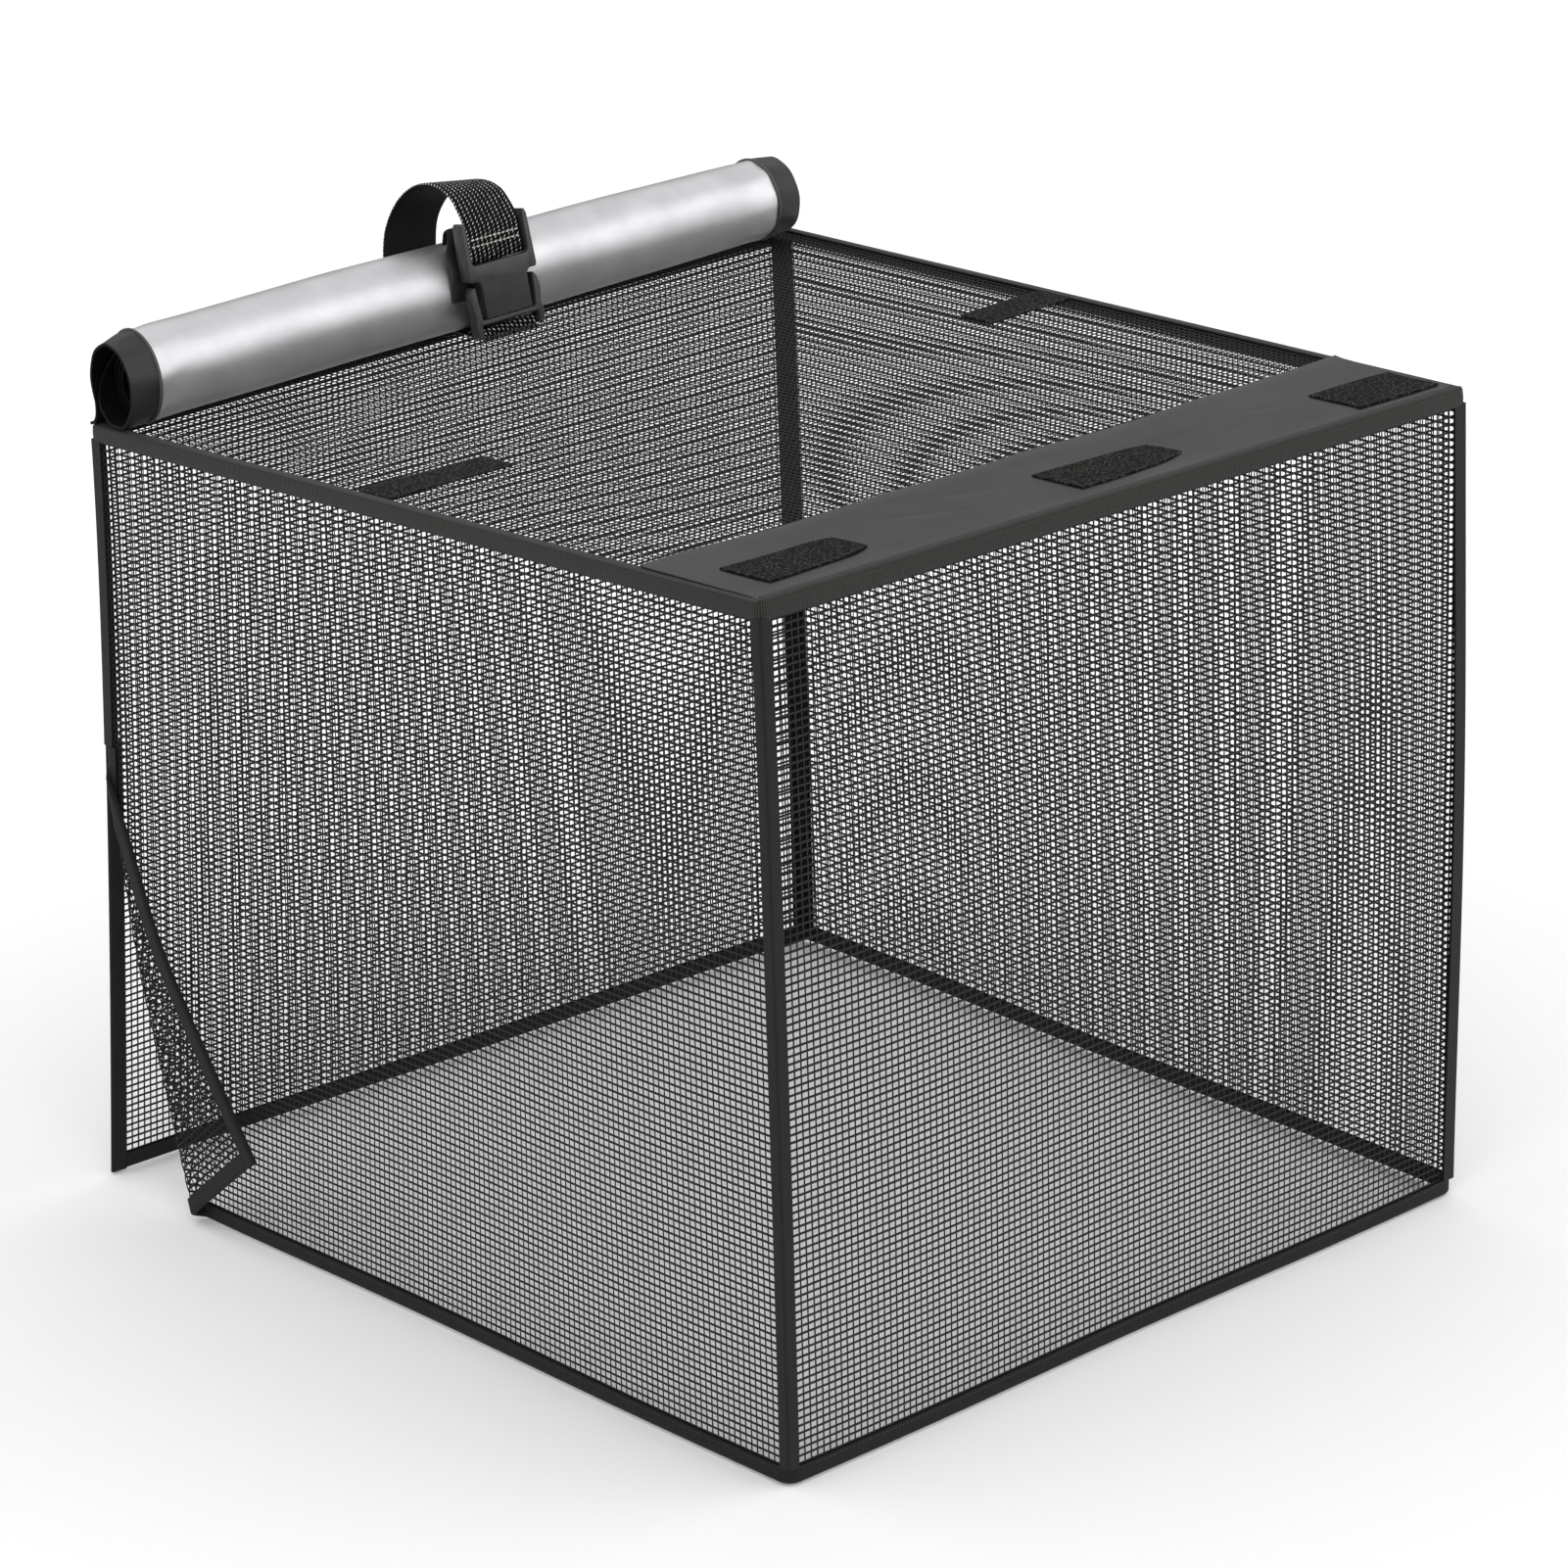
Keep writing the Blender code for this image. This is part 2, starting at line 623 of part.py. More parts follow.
def strap_under():
    """Webbing from the rim, under the roll, to its sewn turn round the male half's bar."""
    middle = BUCKLE_FOOT.y
    on_net = NET_THICKNESS / 2 + CLEARANCE * 1.3 + WEBBING_THICKNESS / 2
    centre = buckle_place(0, MALE_BAR, 0)
    line = [top_place(x, middle, on_net) for x in breaks(-0.368, -0.312, 6)]
    turn = bar_loop(centre, -math.radians(100), math.radians(180), 12)
    back = [Vector((centre.x - dx, middle, centre.z - dz)) for dx, dz in ((0.0050, 0.0010), (0.0110, 0.0018), (0.0180, 0.0020))]
    webbing("strap_under", line + turn + back)


def strap_tail():
    """The webbing's free end, over the roll and down its front behind the buckle."""
    webbing("strap_tail", smooth_path(STRAP_TAIL, 3))


def buckle_half(name, outline, bar_height, depth):
    """Half of the buckle: an outline extruded to its depth, softened, and joined to its webbing bar."""
    shape = bmesh.new()
    face = shape.faces.new([shape.verts.new(buckle_place(w, h, -depth / 2)) for w, h in outline])
    made = bmesh.ops.extrude_face_region(shape, geom=[face])
    moved = [v for v in made["geom"] if isinstance(v, bmesh.types.BMVert)]
    bmesh.ops.translate(shape, verts=moved, vec=buckle_place(0, 0, depth) - buckle_place(0, 0, 0))
    body = make_object(name, shape, "buckle_plastic")
    bevel = body.modifiers.new("soft_edges", "BEVEL")
    bevel.width = 0.0010
    bevel.segments = 2
    bevel.limit_method = "ANGLE"
    bar = bmesh.new()
    rings = []
    for width in (-RAIL_INSIDE - 0.002, RAIL_INSIDE + 0.002):
        turns = [2 * math.pi * i / 12 for i in range(12)]
        centre = buckle_place(width, bar_height, 0)
        rings.append(add_ring(bar, [centre + buckle_turn(a) * BAR_RADIUS for a in turns]))
    join_rings(bar, rings[0], rings[1])
    bar.faces.new(rings[0])
    bar.faces.new(rings[1])
    cutter = make_object(name + "_bar", bar, "buckle_plastic")
    cutter.hide_render = True
    cutter.display_type = "WIRE"
    union = body.modifiers.new("webbing_bar", "BOOLEAN")
    union.operation = "UNION"
    union.solver = "EXACT"
    union.object = cutter


def mirrored(right_side):
    """A closed outline from its right half, listed upwards."""
    return right_side + [(-w, h) for w, h in reversed(right_side)]


def buckle():
    """Both halves: the shell with its rails, and the frame whose two arms lie in the shell's side windows."""
    half = BUCKLE_WIDTH / 2
    tongue = half - 0.0105
    shell = [
        (tongue, BUCKLE_SPLIT + CLEARANCE), (tongue, BUCKLE_SHOULDER - 0.003), (tongue + 0.003, BUCKLE_SHOULDER),
        (half - 0.0010, BUCKLE_SHOULDER), (half, BUCKLE_SHOULDER + 0.003), (half, BUCKLE_SHELL_TOP),
        (half - 0.0010, BUCKLE_TOP - 0.004), (half - 0.0025, BUCKLE_TOP), (RAIL_INSIDE + 0.0005, BUCKLE_TOP),
        (RAIL_INSIDE, BUCKLE_SHELL_TOP + 0.002), (RAIL_INSIDE - 0.002, BUCKLE_SHELL_TOP),
    ]
    buckle_half("buckle_female", mirrored(shell), FEMALE_BAR, BUCKLE_DEPTH)
    arm_inside = tongue + 0.0045
    frame = [
        (RAIL_INSIDE, 0.0125), (RAIL_INSIDE, 0.0030), (half - 0.0030, 0.0022), (half - 0.0004, 0.0050),
        (half, 0.0140), (half - 0.0015, 0.0185), (half + 0.0004, 0.0300), (half - 0.0010, 0.0385),
        (half - 0.0040, 0.0425), (half - 0.0052, 0.0410), (arm_inside + 0.0005, 0.0300),
        (arm_inside - 0.0010, BUCKLE_SPLIT),
    ]
    buckle_half("buckle_male", mirrored(frame), MALE_BAR, BUCKLE_DEPTH * 0.8)


def build():
    """Makes every piece of the cover."""
    clear_scene()
    walls = all_walls()
    left, right = walls["front_left"], walls["front_right"]
    far, rear = walls["back_right"], walls["back_left"]

    net_top()
    turned_net_wall("net_front_left", left)
    plain_net_wall("net_front_right", right, SHEET_INSET, SHEET_INSET)
    plain_net_wall("net_back_right", far, SHEET_INSET, SHEET_INSET)
    plain_net_wall("net_back_left", rear, SHEET_INSET, SLIT_EDGE)

    for name, wall in walls.items():
        rim_binding("rim_binding_" + name, wall, with_top_leg=name != "front_right")

    past_slit = SLIT_EDGE + TAPE_LEG + CLEARANCE
    hem_binding("hem_binding_front_left", left, lambda o: past_slit, lambda o: left.length + o - MITRE, 10, turned=True)
    for name, wall in (("front_right", right), ("back_right", far)):
        hem_binding("hem_binding_" + name, wall, lambda o: MITRE - o, lambda o, w=wall: w.length + o - MITRE, 8)
    hem_binding("hem_binding_back_left", rear, lambda o: MITRE - o, lambda o: rear.length - past_slit, 8)

    above_hem = TAPE_LEG + CLEARANCE
    corner_tape("corner_seam_front", left, right, SEAM_LEG, above_hem)
    corner_tape("corner_tape_right", right, far, TAPE_LEG, above_hem)
    corner_tape("corner_tape_back", far, rear, TAPE_LEG, above_hem)
    corner_tape("corner_tape_left", rear, left, TAPE_LEG, SLIT_HEIGHT + CLEARANCE)
    slit_binding("slit_binding_turned", lambda i, up, out: left.place(SLIT_EDGE + i, up, out), 10, turned=True)
    slit_binding("slit_binding_rear", lambda i, up, out: rear.place(rear.length - SLIT_EDGE - i, up, out), 10)

    front_strip()
    all_patches()

    cover_roll(rear)
    roll_binding("roll_binding_left", ROLL_ENDS[0], ROLL_ENDS[0] + ROLL_BAND, rear)
    roll_binding("roll_binding_right", ROLL_ENDS[1] - ROLL_BAND, ROLL_ENDS[1], rear)

    strap_arc()
    strap_tail()
    strap_under()
    buckle()


build()
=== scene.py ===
"""Looks of the net cover: its net, tapes, strip, patches, rolled flap, webbing and buckle.

Metres, +Z up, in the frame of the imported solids. The cover hangs from its rim to its hem, and the flap lies
rolled up along the left end of the top.
"""
from __future__ import annotations

import json
import logging
import math
from dataclasses import dataclass, field
from enum import Enum
from typing import Callable, Sequence

import bmesh
import bpy
from mathutils import Matrix, Vector

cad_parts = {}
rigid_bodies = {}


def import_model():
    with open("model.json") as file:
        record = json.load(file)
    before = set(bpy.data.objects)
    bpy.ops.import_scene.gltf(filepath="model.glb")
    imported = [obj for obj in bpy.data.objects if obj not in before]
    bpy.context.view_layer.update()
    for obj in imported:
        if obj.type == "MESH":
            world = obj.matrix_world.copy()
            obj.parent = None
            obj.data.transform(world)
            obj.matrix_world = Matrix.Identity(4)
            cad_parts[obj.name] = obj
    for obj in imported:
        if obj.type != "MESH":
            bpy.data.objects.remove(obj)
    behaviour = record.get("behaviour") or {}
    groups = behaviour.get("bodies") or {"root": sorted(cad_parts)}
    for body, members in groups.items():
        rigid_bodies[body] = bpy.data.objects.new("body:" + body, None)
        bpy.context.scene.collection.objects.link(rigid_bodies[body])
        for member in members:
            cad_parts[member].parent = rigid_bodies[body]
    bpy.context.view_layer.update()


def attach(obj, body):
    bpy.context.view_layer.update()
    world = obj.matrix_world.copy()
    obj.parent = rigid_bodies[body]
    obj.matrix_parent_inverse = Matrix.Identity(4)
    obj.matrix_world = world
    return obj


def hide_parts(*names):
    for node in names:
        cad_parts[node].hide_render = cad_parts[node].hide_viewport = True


LOG = logging.getLogger("net_cover")

Place = Callable[[float, float, float], Vector]
Row = tuple[float, ...]
Tree = bpy.types.NodeTree
Socket = bpy.types.NodeSocket
Material = bpy.types.Material

# Overall size, as in the solids: the long side, the short side, and the drop from rim to hem.
LENGTH = 0.760
WIDTH = 0.640
HEIGHT = 0.600

CLEARANCE = 0.0003
NET_THICKNESS = 0.0012
TAPE_THICKNESS = 0.0012
TAPE_LEG = 0.010
TAPE_STAND = NET_THICKNESS / 2 + CLEARANCE + TAPE_THICKNESS / 2
SEAM_LEG = 0.007
RIM_TOP_LEG = 0.006

# The cloth is looser at the hem than at the rim, and waves a little between its corners.
FLARE_POWER = 1.3
WALL_WAVE = 0.0025
TOP_SAG = 0.004

# The four corners, anticlockwise from above: each rim point and each hem point.
CORNERS = {
    "left": ((-LENGTH / 2, -WIDTH / 2, -0.015), (-LENGTH / 2 - 0.019, -WIDTH / 2 - 0.040, -HEIGHT)),
    "front": ((LENGTH / 2, -WIDTH / 2, 0.000), (LENGTH / 2 - 0.004, -WIDTH / 2 - 0.015, -HEIGHT)),
    "right": ((LENGTH / 2, WIDTH / 2, 0.002), (LENGTH / 2 - 0.005, WIDTH / 2 - 0.016, -HEIGHT)),
    "back": ((-LENGTH / 2 + 0.010, WIDTH / 2 + 0.015, 0.011),
             (-LENGTH / 2 + 0.004, WIDTH / 2 + 0.002, -HEIGHT)),
}

# The open slit at the left corner, and the bend round which its front edge is turned out.
SLIT_HEIGHT = 0.350
TURN_ALONG = 0.126
TURN_RADIUS = 0.0060
TURN_ANGLE = math.radians(178)
TURN_STEPS = 20
# The bend is tighter towards the top of the slit, by this share of its radius.
TURN_TAPER = 0.62
SLIT_EDGE = 0.0045
REAR_SLIT_EDGE = 0.0012
# How far the net ends short of the other corners and of the rim.
NET_INSET = 0.003

# How quickly a woven pattern wanders from its straight lines.
WANDER_PER_METRE = 60.0


class Slot(Enum):
    """Material slots of the part's record."""

    NET = "net"
    BINDING = "binding"
    COATED = "coated_cloth"
    HOOKS = "hook_and_loop"
    SILVER = "silver_cloth"
    WEBBING = "webbing"
    PLASTIC = "plastic"


def to_linear(code: str) -> tuple[float, float, float, float]:
    """Linear colour of an sRGB hex value.

    Args:
        code: six hex digits after a hash sign.

    Returns:
        Red, green, blue and alpha, each from 0 to 1.
    """
    parts = [int(code[i:i + 2], 16) / 255 for i in (1, 3, 5)]
    linear = [p / 12.92 if p <= 0.04045 else ((p + 0.055) / 1.055) ** 2.4 for p in parts]
    return (linear[0], linear[1], linear[2], 1.0)


def breaks(first: float, last: float, steps: int) -> list[float]:
    """Evenly spaced values.

    Args:
        first: the first value.
        last: the last value.
        steps: how many steps lie between them.

    Returns:
        The values, both ends included.
    """
    return [first + (last - first) * i / steps for i in range(steps + 1)]


def smooth_step(x: float) -> float:
    """Soft ramp from 0 at 0 to 1 at 1."""
    x = min(max(x, 0.0), 1.0)
    return x * x * (3 - 2 * x)


# Materials


class Kind(Enum):
    """The shader nodes in use."""

    BUMP = "ShaderNodeBump"
    CELLS = "ShaderNodeTexVoronoi"
    MATH = "ShaderNodeMath"
    NOISE = "ShaderNodeTexNoise"
    PARTS = "ShaderNodeSeparateXYZ"
    PLACE = "ShaderNodeTexCoord"
    RAMP = "ShaderNodeValToRGB"
    RANGE = "ShaderNodeMapRange"
    UV = "ShaderNodeUVMap"
    VECTOR_MATH = "ShaderNodeVectorMath"


PLUS = {"operation": "ADD"}
MINUS = {"operation": "SUBTRACT"}
TIMES = {"operation": "MULTIPLY"}
TIMES_PLUS = {"operation": "MULTIPLY_ADD"}


def set_inputs(tree: Tree, node: bpy.types.Node, inputs: dict) -> None:
    """Sets and links a node's inputs.

    Args:
        tree: the material's node tree.
        node: the node.
        inputs: socket names or numbers, each with a value or with the output socket to link from.
    """
    for name, value in inputs.items():
        if isinstance(value, Socket):
            tree.links.new(value, node.inputs[name])
        else:
            node.inputs[name].default_value = value


def add_node(tree: Tree, kind: Kind, settings: dict | None = None, inputs: dict | None = None,
             output: int | str = 0, stops: Sequence[tuple[float, str]] = ()) -> Socket:
    """Adds a shader node with its settings and links.

    Args:
        tree: the material's node tree.
        kind: the node's kind.
        settings: attributes to set on the node.
        inputs: socket names or numbers, each with a value or with the output socket to link from.
        output: number or name of the output that is wanted.
        stops: a ramp's positions and sRGB hex colours.

    Returns:
        The wanted output.
    """
    node = tree.nodes.new(kind.value)
    for name, value in (settings or {}).items():
        setattr(node, name, value)
    set_inputs(tree, node, inputs or {})
    if stops:
        elements = node.color_ramp.elements
        elements.remove(elements[1])
        elements[0].position, elements[0].color = stops[0][0], to_linear(stops[0][1])
        for position, code in stops[1:]:
            elements.new(position).color = to_linear(code)
    return node.outputs[output]


def cloth_axes(tree: Tree) -> tuple[Socket, Socket, Socket]:
    """Places on the cloth, in millimetres, from its UV map.

    Args:
        tree: the material's node tree.

    Returns:
        The whole place, the place along the cloth and the place across it.
    """
    uv = add_node(tree, Kind.UV, {"uv_map": "cloth"})
    scaled = add_node(tree, Kind.VECTOR_MATH, {"operation": "SCALE"}, {0: uv, "Scale": 1000.0})
    along = add_node(tree, Kind.PARTS, inputs={0: scaled}, output="X")
    return scaled, along, along.node.outputs["Y"]


def wave_of(tree: Tree, place: Socket, pitch_mm: float, rough: float = 0.0) -> Socket:
    """A smooth wave over a place in millimetres.

    Args:
        tree: the material's node tree.
        place: a place, in millimetres.
        pitch_mm: distance from crest to crest.
        rough: how much the wave wanders, in turns.

    Returns:
        A value from 0 to 1.
    """
    wave = add_node(tree, Kind.MATH, TIMES, {0: place, 1: 2 * math.pi / pitch_mm})
    if rough:
        spot = add_node(tree, Kind.PLACE, output="Object")
        wander = add_node(tree, Kind.NOISE, inputs={"Vector": spot, "Scale": WANDER_PER_METRE})
        wave = add_node(tree, Kind.MATH, TIMES_PLUS, {0: wander, 1: rough * 2 * math.pi, 2: wave})
    sine = add_node(tree, Kind.MATH, {"operation": "SINE"}, {0: wave})
    return add_node(tree, Kind.MATH, TIMES_PLUS, {0: sine, 1: 0.5, 2: 0.5})


@dataclass(frozen=True)
class Finish:
    """A material of the cover. Each kind of finish says how its surface is shaded."""

    name: str

    def shade(self, tree: Tree) -> dict:
        """Adds the surface's nodes.

        Args:
            tree: the material's node tree.

        Returns:
            The shader's inputs, each with its value or its link.
        """
        return {}

    def make(self) -> Material:
        """Builds the material.

        Returns:
            The material.
        """
        material = bpy.data.materials.new(self.name)
        material.use_nodes = True
        tree = material.node_tree
        set_inputs(tree, tree.nodes["Principled BSDF"], self.shade(tree))
        return material


@dataclass(frozen=True)
class NetYarn(Finish):
    """Net yarn: polyester cord dipped in black PVC. The coat gives it a dull gloss over the yarn's twist."""

    name: str = "pvc_coated_polyester_yarn"
    dark: str = "#080808"
    light: str = "#151515"
    twist_mm: float = 1.6
    spots_per_mm: float = 0.35
    specular: float = 0.3

    def shade(self, tree: Tree) -> dict:
        """Adds the yarn's tone and twist.

        Args:
            tree: the material's node tree.

        Returns:
            The shader's inputs, each with its value or its link.
        """
        place, along, _ = cloth_axes(tree)
        spots = add_node(tree, Kind.NOISE, inputs={
            "Vector": place, "Scale": self.spots_per_mm, "Detail": 3.0})
        twist = wave_of(tree, along, self.twist_mm)
        stops = [(0.3, self.dark), (0.7, self.light)]
        return {
            "Base Color": add_node(tree, Kind.RAMP, inputs={"Fac": spots}, stops=stops),
            "Roughness": 0.6,
            "IOR": 1.53,
            "Specular IOR Level": self.specular,
            "Normal": add_node(tree, Kind.BUMP, inputs={
                "Height": twist, "Distance": 0.0001, "Strength": 0.6}),
        }


@dataclass(frozen=True)
class RibbedTape(Finish):
    """Grosgrain tape: polyester woven with a thick cross yarn, which shows as fine ribs; the pale grains on
    their crests are painted highlight.

    The real ribs are 0.7 mm apart and are drawn twice as coarse, to show.
    """

    dark: str
    light: str
    rib_mm: float = 1.5
    sheen: float = 0.06
    specular: float = 0.25
    grains_per_mm: float = 0.9

    def shade(self, tree: Tree) -> dict:
        """Adds the ribs, with the yarns that cross them, and a painted highlight on the rib crests.

        Args:
            tree: the material's node tree.

        Returns:
            The shader's inputs, each with its value or its link.
        """
        place, along, across = cloth_axes(tree)
        ribs = wave_of(tree, along, self.rib_mm, 0.15)
        yarns = wave_of(tree, across, self.rib_mm * 0.8, 0.10)
        grain = add_node(tree, Kind.NOISE, inputs={
            "Vector": place, "Scale": self.grains_per_mm, "Detail": 4.0, "Roughness": 0.7})
        faint = add_node(tree, Kind.MATH, TIMES_PLUS, {0: yarns, 1: 0.5, 2: 0.5})
        weave = add_node(tree, Kind.MATH, TIMES, {0: ribs, 1: faint})
        painted_glint = add_node(tree, Kind.MATH, TIMES, {0: weave, 1: grain})
        # Painted highlight: the pale end of the ramp falls on the crests of the ribs.
        stops = [(0.08, self.dark), (0.55, self.light)]
        return {
            "Base Color": add_node(tree, Kind.RAMP, inputs={"Fac": painted_glint}, stops=stops),
            "Roughness": 0.72,
            "Specular IOR Level": self.specular,
            "Sheen Weight": self.sheen,
            "Sheen Roughness": 0.5,
            "Normal": add_node(tree, Kind.BUMP, inputs={
                "Height": weave, "Distance": 0.0003, "Strength": 0.8}),
        }


@dataclass(frozen=True)
class CoatedCloth(Finish):
    """Coated oxford cloth: close polyester weave under a PU coat, which turns the weave into a faint grain.

    The real weave is 0.5 mm and is drawn twice as coarse, to show.
    """

    dark: str
    light: str
    weave_mm: float = 1.1
    roughness: float = 0.5
    specular: float = 0.4
    clouds_per_mm: float = 0.016
    grains_per_mm: float = 0.5

    def shade(self, tree: Tree) -> dict:
        """Adds the coat's soft tones over the weave.

        Args:
            tree: the material's node tree.

        Returns:
            The shader's inputs, each with its value or its link.
        """
        place, along, across = cloth_axes(tree)
        soft = add_node(tree, Kind.NOISE, inputs={
            "Vector": place, "Scale": self.clouds_per_mm, "Detail": 2.0})
        fine = add_node(tree, Kind.NOISE, inputs={
            "Vector": place, "Scale": self.grains_per_mm, "Detail": 5.0, "Roughness": 0.65})
        tone = add_node(tree, Kind.MATH, TIMES, {0: soft, 1: 0.75})
        mixed = add_node(tree, Kind.MATH, TIMES_PLUS, {0: fine, 1: 0.25, 2: tone})
        waves = [wave_of(tree, way, self.weave_mm) for way in (along, across)]
        weave = add_node(tree, Kind.MATH, TIMES, {0: waves[0], 1: waves[1]})
        relief = add_node(tree, Kind.MATH, PLUS, {0: weave, 1: fine})
        stops = [(0.3, self.dark), (0.7, self.light)]
        return {
            "Base Color": add_node(tree, Kind.RAMP, inputs={"Fac": mixed}, stops=stops),
            "Roughness": self.roughness,
            "Specular IOR Level": self.specular,
            "Coat Weight": 0.06,
            "Coat Roughness": 0.35,
            "Normal": add_node(tree, Kind.BUMP, inputs={
                "Height": relief, "Distance": 0.00012, "Strength": 0.5}),
        }


@dataclass(frozen=True)
class HookTape(Finish):
    """Hook and loop tape: nylon hooks on a woven ground, matt black with pale grains where hooks catch light.

    The real hooks are about 1.3 mm apart and are drawn coarser, to show.
    """

    name: str = "nylon_hook_and_loop"
    dark: str = "#0b0b0a"
    middle: str = "#20201f"
    light: str = "#484844"
    specular: float = 0.15
    hook_mm: float = 2.2
    grains_per_mm: float = 0.5

    def shade(self, tree: Tree) -> dict:
        """Adds the hooks.

        Args:
            tree: the material's node tree.

        Returns:
            The shader's inputs, each with its value or its link.
        """
        place, _, _ = cloth_axes(tree)
        hooks = add_node(tree, Kind.CELLS, inputs={"Vector": place, "Scale": 1 / self.hook_mm})
        grain = add_node(tree, Kind.NOISE, inputs={
            "Vector": place, "Scale": self.grains_per_mm, "Detail": 4.0, "Roughness": 0.75})
        between = add_node(tree, Kind.MATH, TIMES, {0: hooks, 1: 0.35})
        tips = add_node(tree, Kind.MATH, MINUS, {0: grain, 1: between})
        stops = [(0.26, self.dark), (0.38, self.middle), (0.47, self.light)]
        return {
            "Base Color": add_node(tree, Kind.RAMP, inputs={"Fac": tips}, stops=stops),
            "Roughness": 0.95,
            "Specular IOR Level": self.specular,
            "Normal": add_node(tree, Kind.BUMP, inputs={
                "Height": tips, "Distance": 0.0009, "Strength": 1.0}),
        }


@dataclass(frozen=True)
class SilverCloth(Finish):
    """Aluminised oxford cloth: a satin metal coat on close polyester, with a soft broad shine.

    The real weave is 0.45 mm and is drawn twice as coarse, to show.
    """

    name: str = "aluminised_polyester"
    dark: str = "#bcbcbe"
    light: str = "#cacacc"
    weave_mm: float = 0.9
    clouds_per_mm: float = 0.03
    grains_per_mm: float = 0.7
    roughness: tuple[float, float] = (0.38, 0.46)

    def shade(self, tree: Tree) -> dict:
        """Adds the metal coat's soft unevenness over the weave.

        Args:
            tree: the material's node tree.

        Returns:
            The shader's inputs, each with its value or its link.
        """
        place, along, across = cloth_axes(tree)
        soft = add_node(tree, Kind.NOISE, inputs={
            "Vector": place, "Scale": self.clouds_per_mm, "Detail": 3.0})
        fine = add_node(tree, Kind.NOISE, inputs={
            "Vector": place, "Scale": self.grains_per_mm, "Detail": 4.0})
        rough = add_node(tree, Kind.RANGE, inputs={
            "Value": fine, "To Min": self.roughness[0], "To Max": self.roughness[1]})
        waves = [wave_of(tree, way, self.weave_mm) for way in (along, across)]
        weave = add_node(tree, Kind.MATH, TIMES, {0: waves[0], 1: waves[1]})
        dents = add_node(tree, Kind.MATH, TIMES_PLUS, {0: soft, 1: 3.0, 2: 0.5})
        relief = add_node(tree, Kind.MATH, PLUS, {0: weave, 1: dents})
        stops = [(0.3, self.dark), (0.7, self.light)]
        return {
            "Base Color": add_node(tree, Kind.RAMP, inputs={"Fac": soft}, stops=stops),
            "Roughness": rough,
            "Metallic": 0.95,
            "Normal": add_node(tree, Kind.BUMP, inputs={
                "Height": relief, "Distance": 0.00008, "Strength": 0.6}),
        }


@dataclass(frozen=True)
class StrapWebbing(Finish):
    """Polypropylene webbing: heavy black ribs along it, with small pale slants where the yarns turn; the pale
    is a painted highlight on their crests.
    """

    name: str = "polypropylene_webbing"
    dark: str = "#060606"
    middle: str = "#242423"
    # Painted highlight: the near-white that the crests of the slants take.
    light: str = "#dcdcd6"
    rib_mm: float = 4.2
    slant_mm: float = 2.9
    grains_per_mm: float = 0.6
    shine: tuple[float, float] = (0.05, 1.0)

    def shade(self, tree: Tree) -> dict:
        """Adds the ribs and the slants on them, which shine on their crests through the specular level and
        through a painted highlight in their colour.

        Args:
            tree: the material's node tree.

        Returns:
            The shader's inputs, each with its value or its link.
        """
        place, along, across = cloth_axes(tree)
        ribs = wave_of(tree, across, self.rib_mm, 0.22)
        lean = add_node(tree, Kind.MATH, TIMES_PLUS, {0: across, 1: 0.9, 2: along})
        slants = wave_of(tree, lean, self.slant_mm, 0.35)
        grain = add_node(tree, Kind.NOISE, inputs={
            "Vector": place, "Scale": self.grains_per_mm, "Detail": 3.0})
        yarn = add_node(tree, Kind.MATH, TIMES, {0: ribs, 1: slants})
        painted_glint = add_node(tree, Kind.MATH, TIMES, {0: yarn, 1: grain})
        crest = add_node(tree, Kind.RANGE, inputs={
            "Value": yarn, "From Min": 0.25, "To Min": self.shine[0], "To Max": self.shine[1]})
        low = add_node(tree, Kind.MATH, TIMES, {0: ribs, 1: 0.6})
        relief = add_node(tree, Kind.MATH, PLUS, {0: yarn, 1: low})
        # The pale end of the ramp is painted highlight on the crests, beside the real shine of the specular
        # level.
        stops = [(0.16, self.dark), (0.34, self.middle), (0.47, self.light)]
        return {
            "Base Color": add_node(tree, Kind.RAMP, inputs={"Fac": painted_glint}, stops=stops),
            "Specular IOR Level": crest,
            "Roughness": 0.34,
            "Normal": add_node(tree, Kind.BUMP, inputs={
                "Height": relief, "Distance": 0.0009, "Strength": 1.0}),
        }


@dataclass(frozen=True)
class MouldedPlastic(Finish):
    """Acetal: moulded dark grey plastic, whose fine spark finish softens its gloss."""

    name: str = "moulded_acetal"
    dark: str = "#2c2c2b"
    light: str = "#343433"
    grains_per_metre: float = 1400.0
    clouds_per_metre: float = 90.0

    def shade(self, tree: Tree) -> dict:
        """Adds the plastic's tone and grain.

        Args:
            tree: the material's node tree.

        Returns:
            The shader's inputs, each with its value or its link.
        """
        spot = add_node(tree, Kind.PLACE, output="Object")
        grain = add_node(tree, Kind.NOISE, inputs={
            "Vector": spot, "Scale": self.grains_per_metre, "Detail": 2.0})
        tone = add_node(tree, Kind.NOISE, inputs={"Vector": spot, "Scale": self.clouds_per_metre})
        stops = [(0.3, self.dark), (0.7, self.light)]
        return {
            "Base Color": add_node(tree, Kind.RAMP, inputs={"Fac": tone}, stops=stops),
            "Roughness": 0.42,
            "IOR": 1.48,
            "Normal": add_node(tree, Kind.BUMP, inputs={
                "Height": grain, "Distance": 0.00004, "Strength": 0.5}),
        }


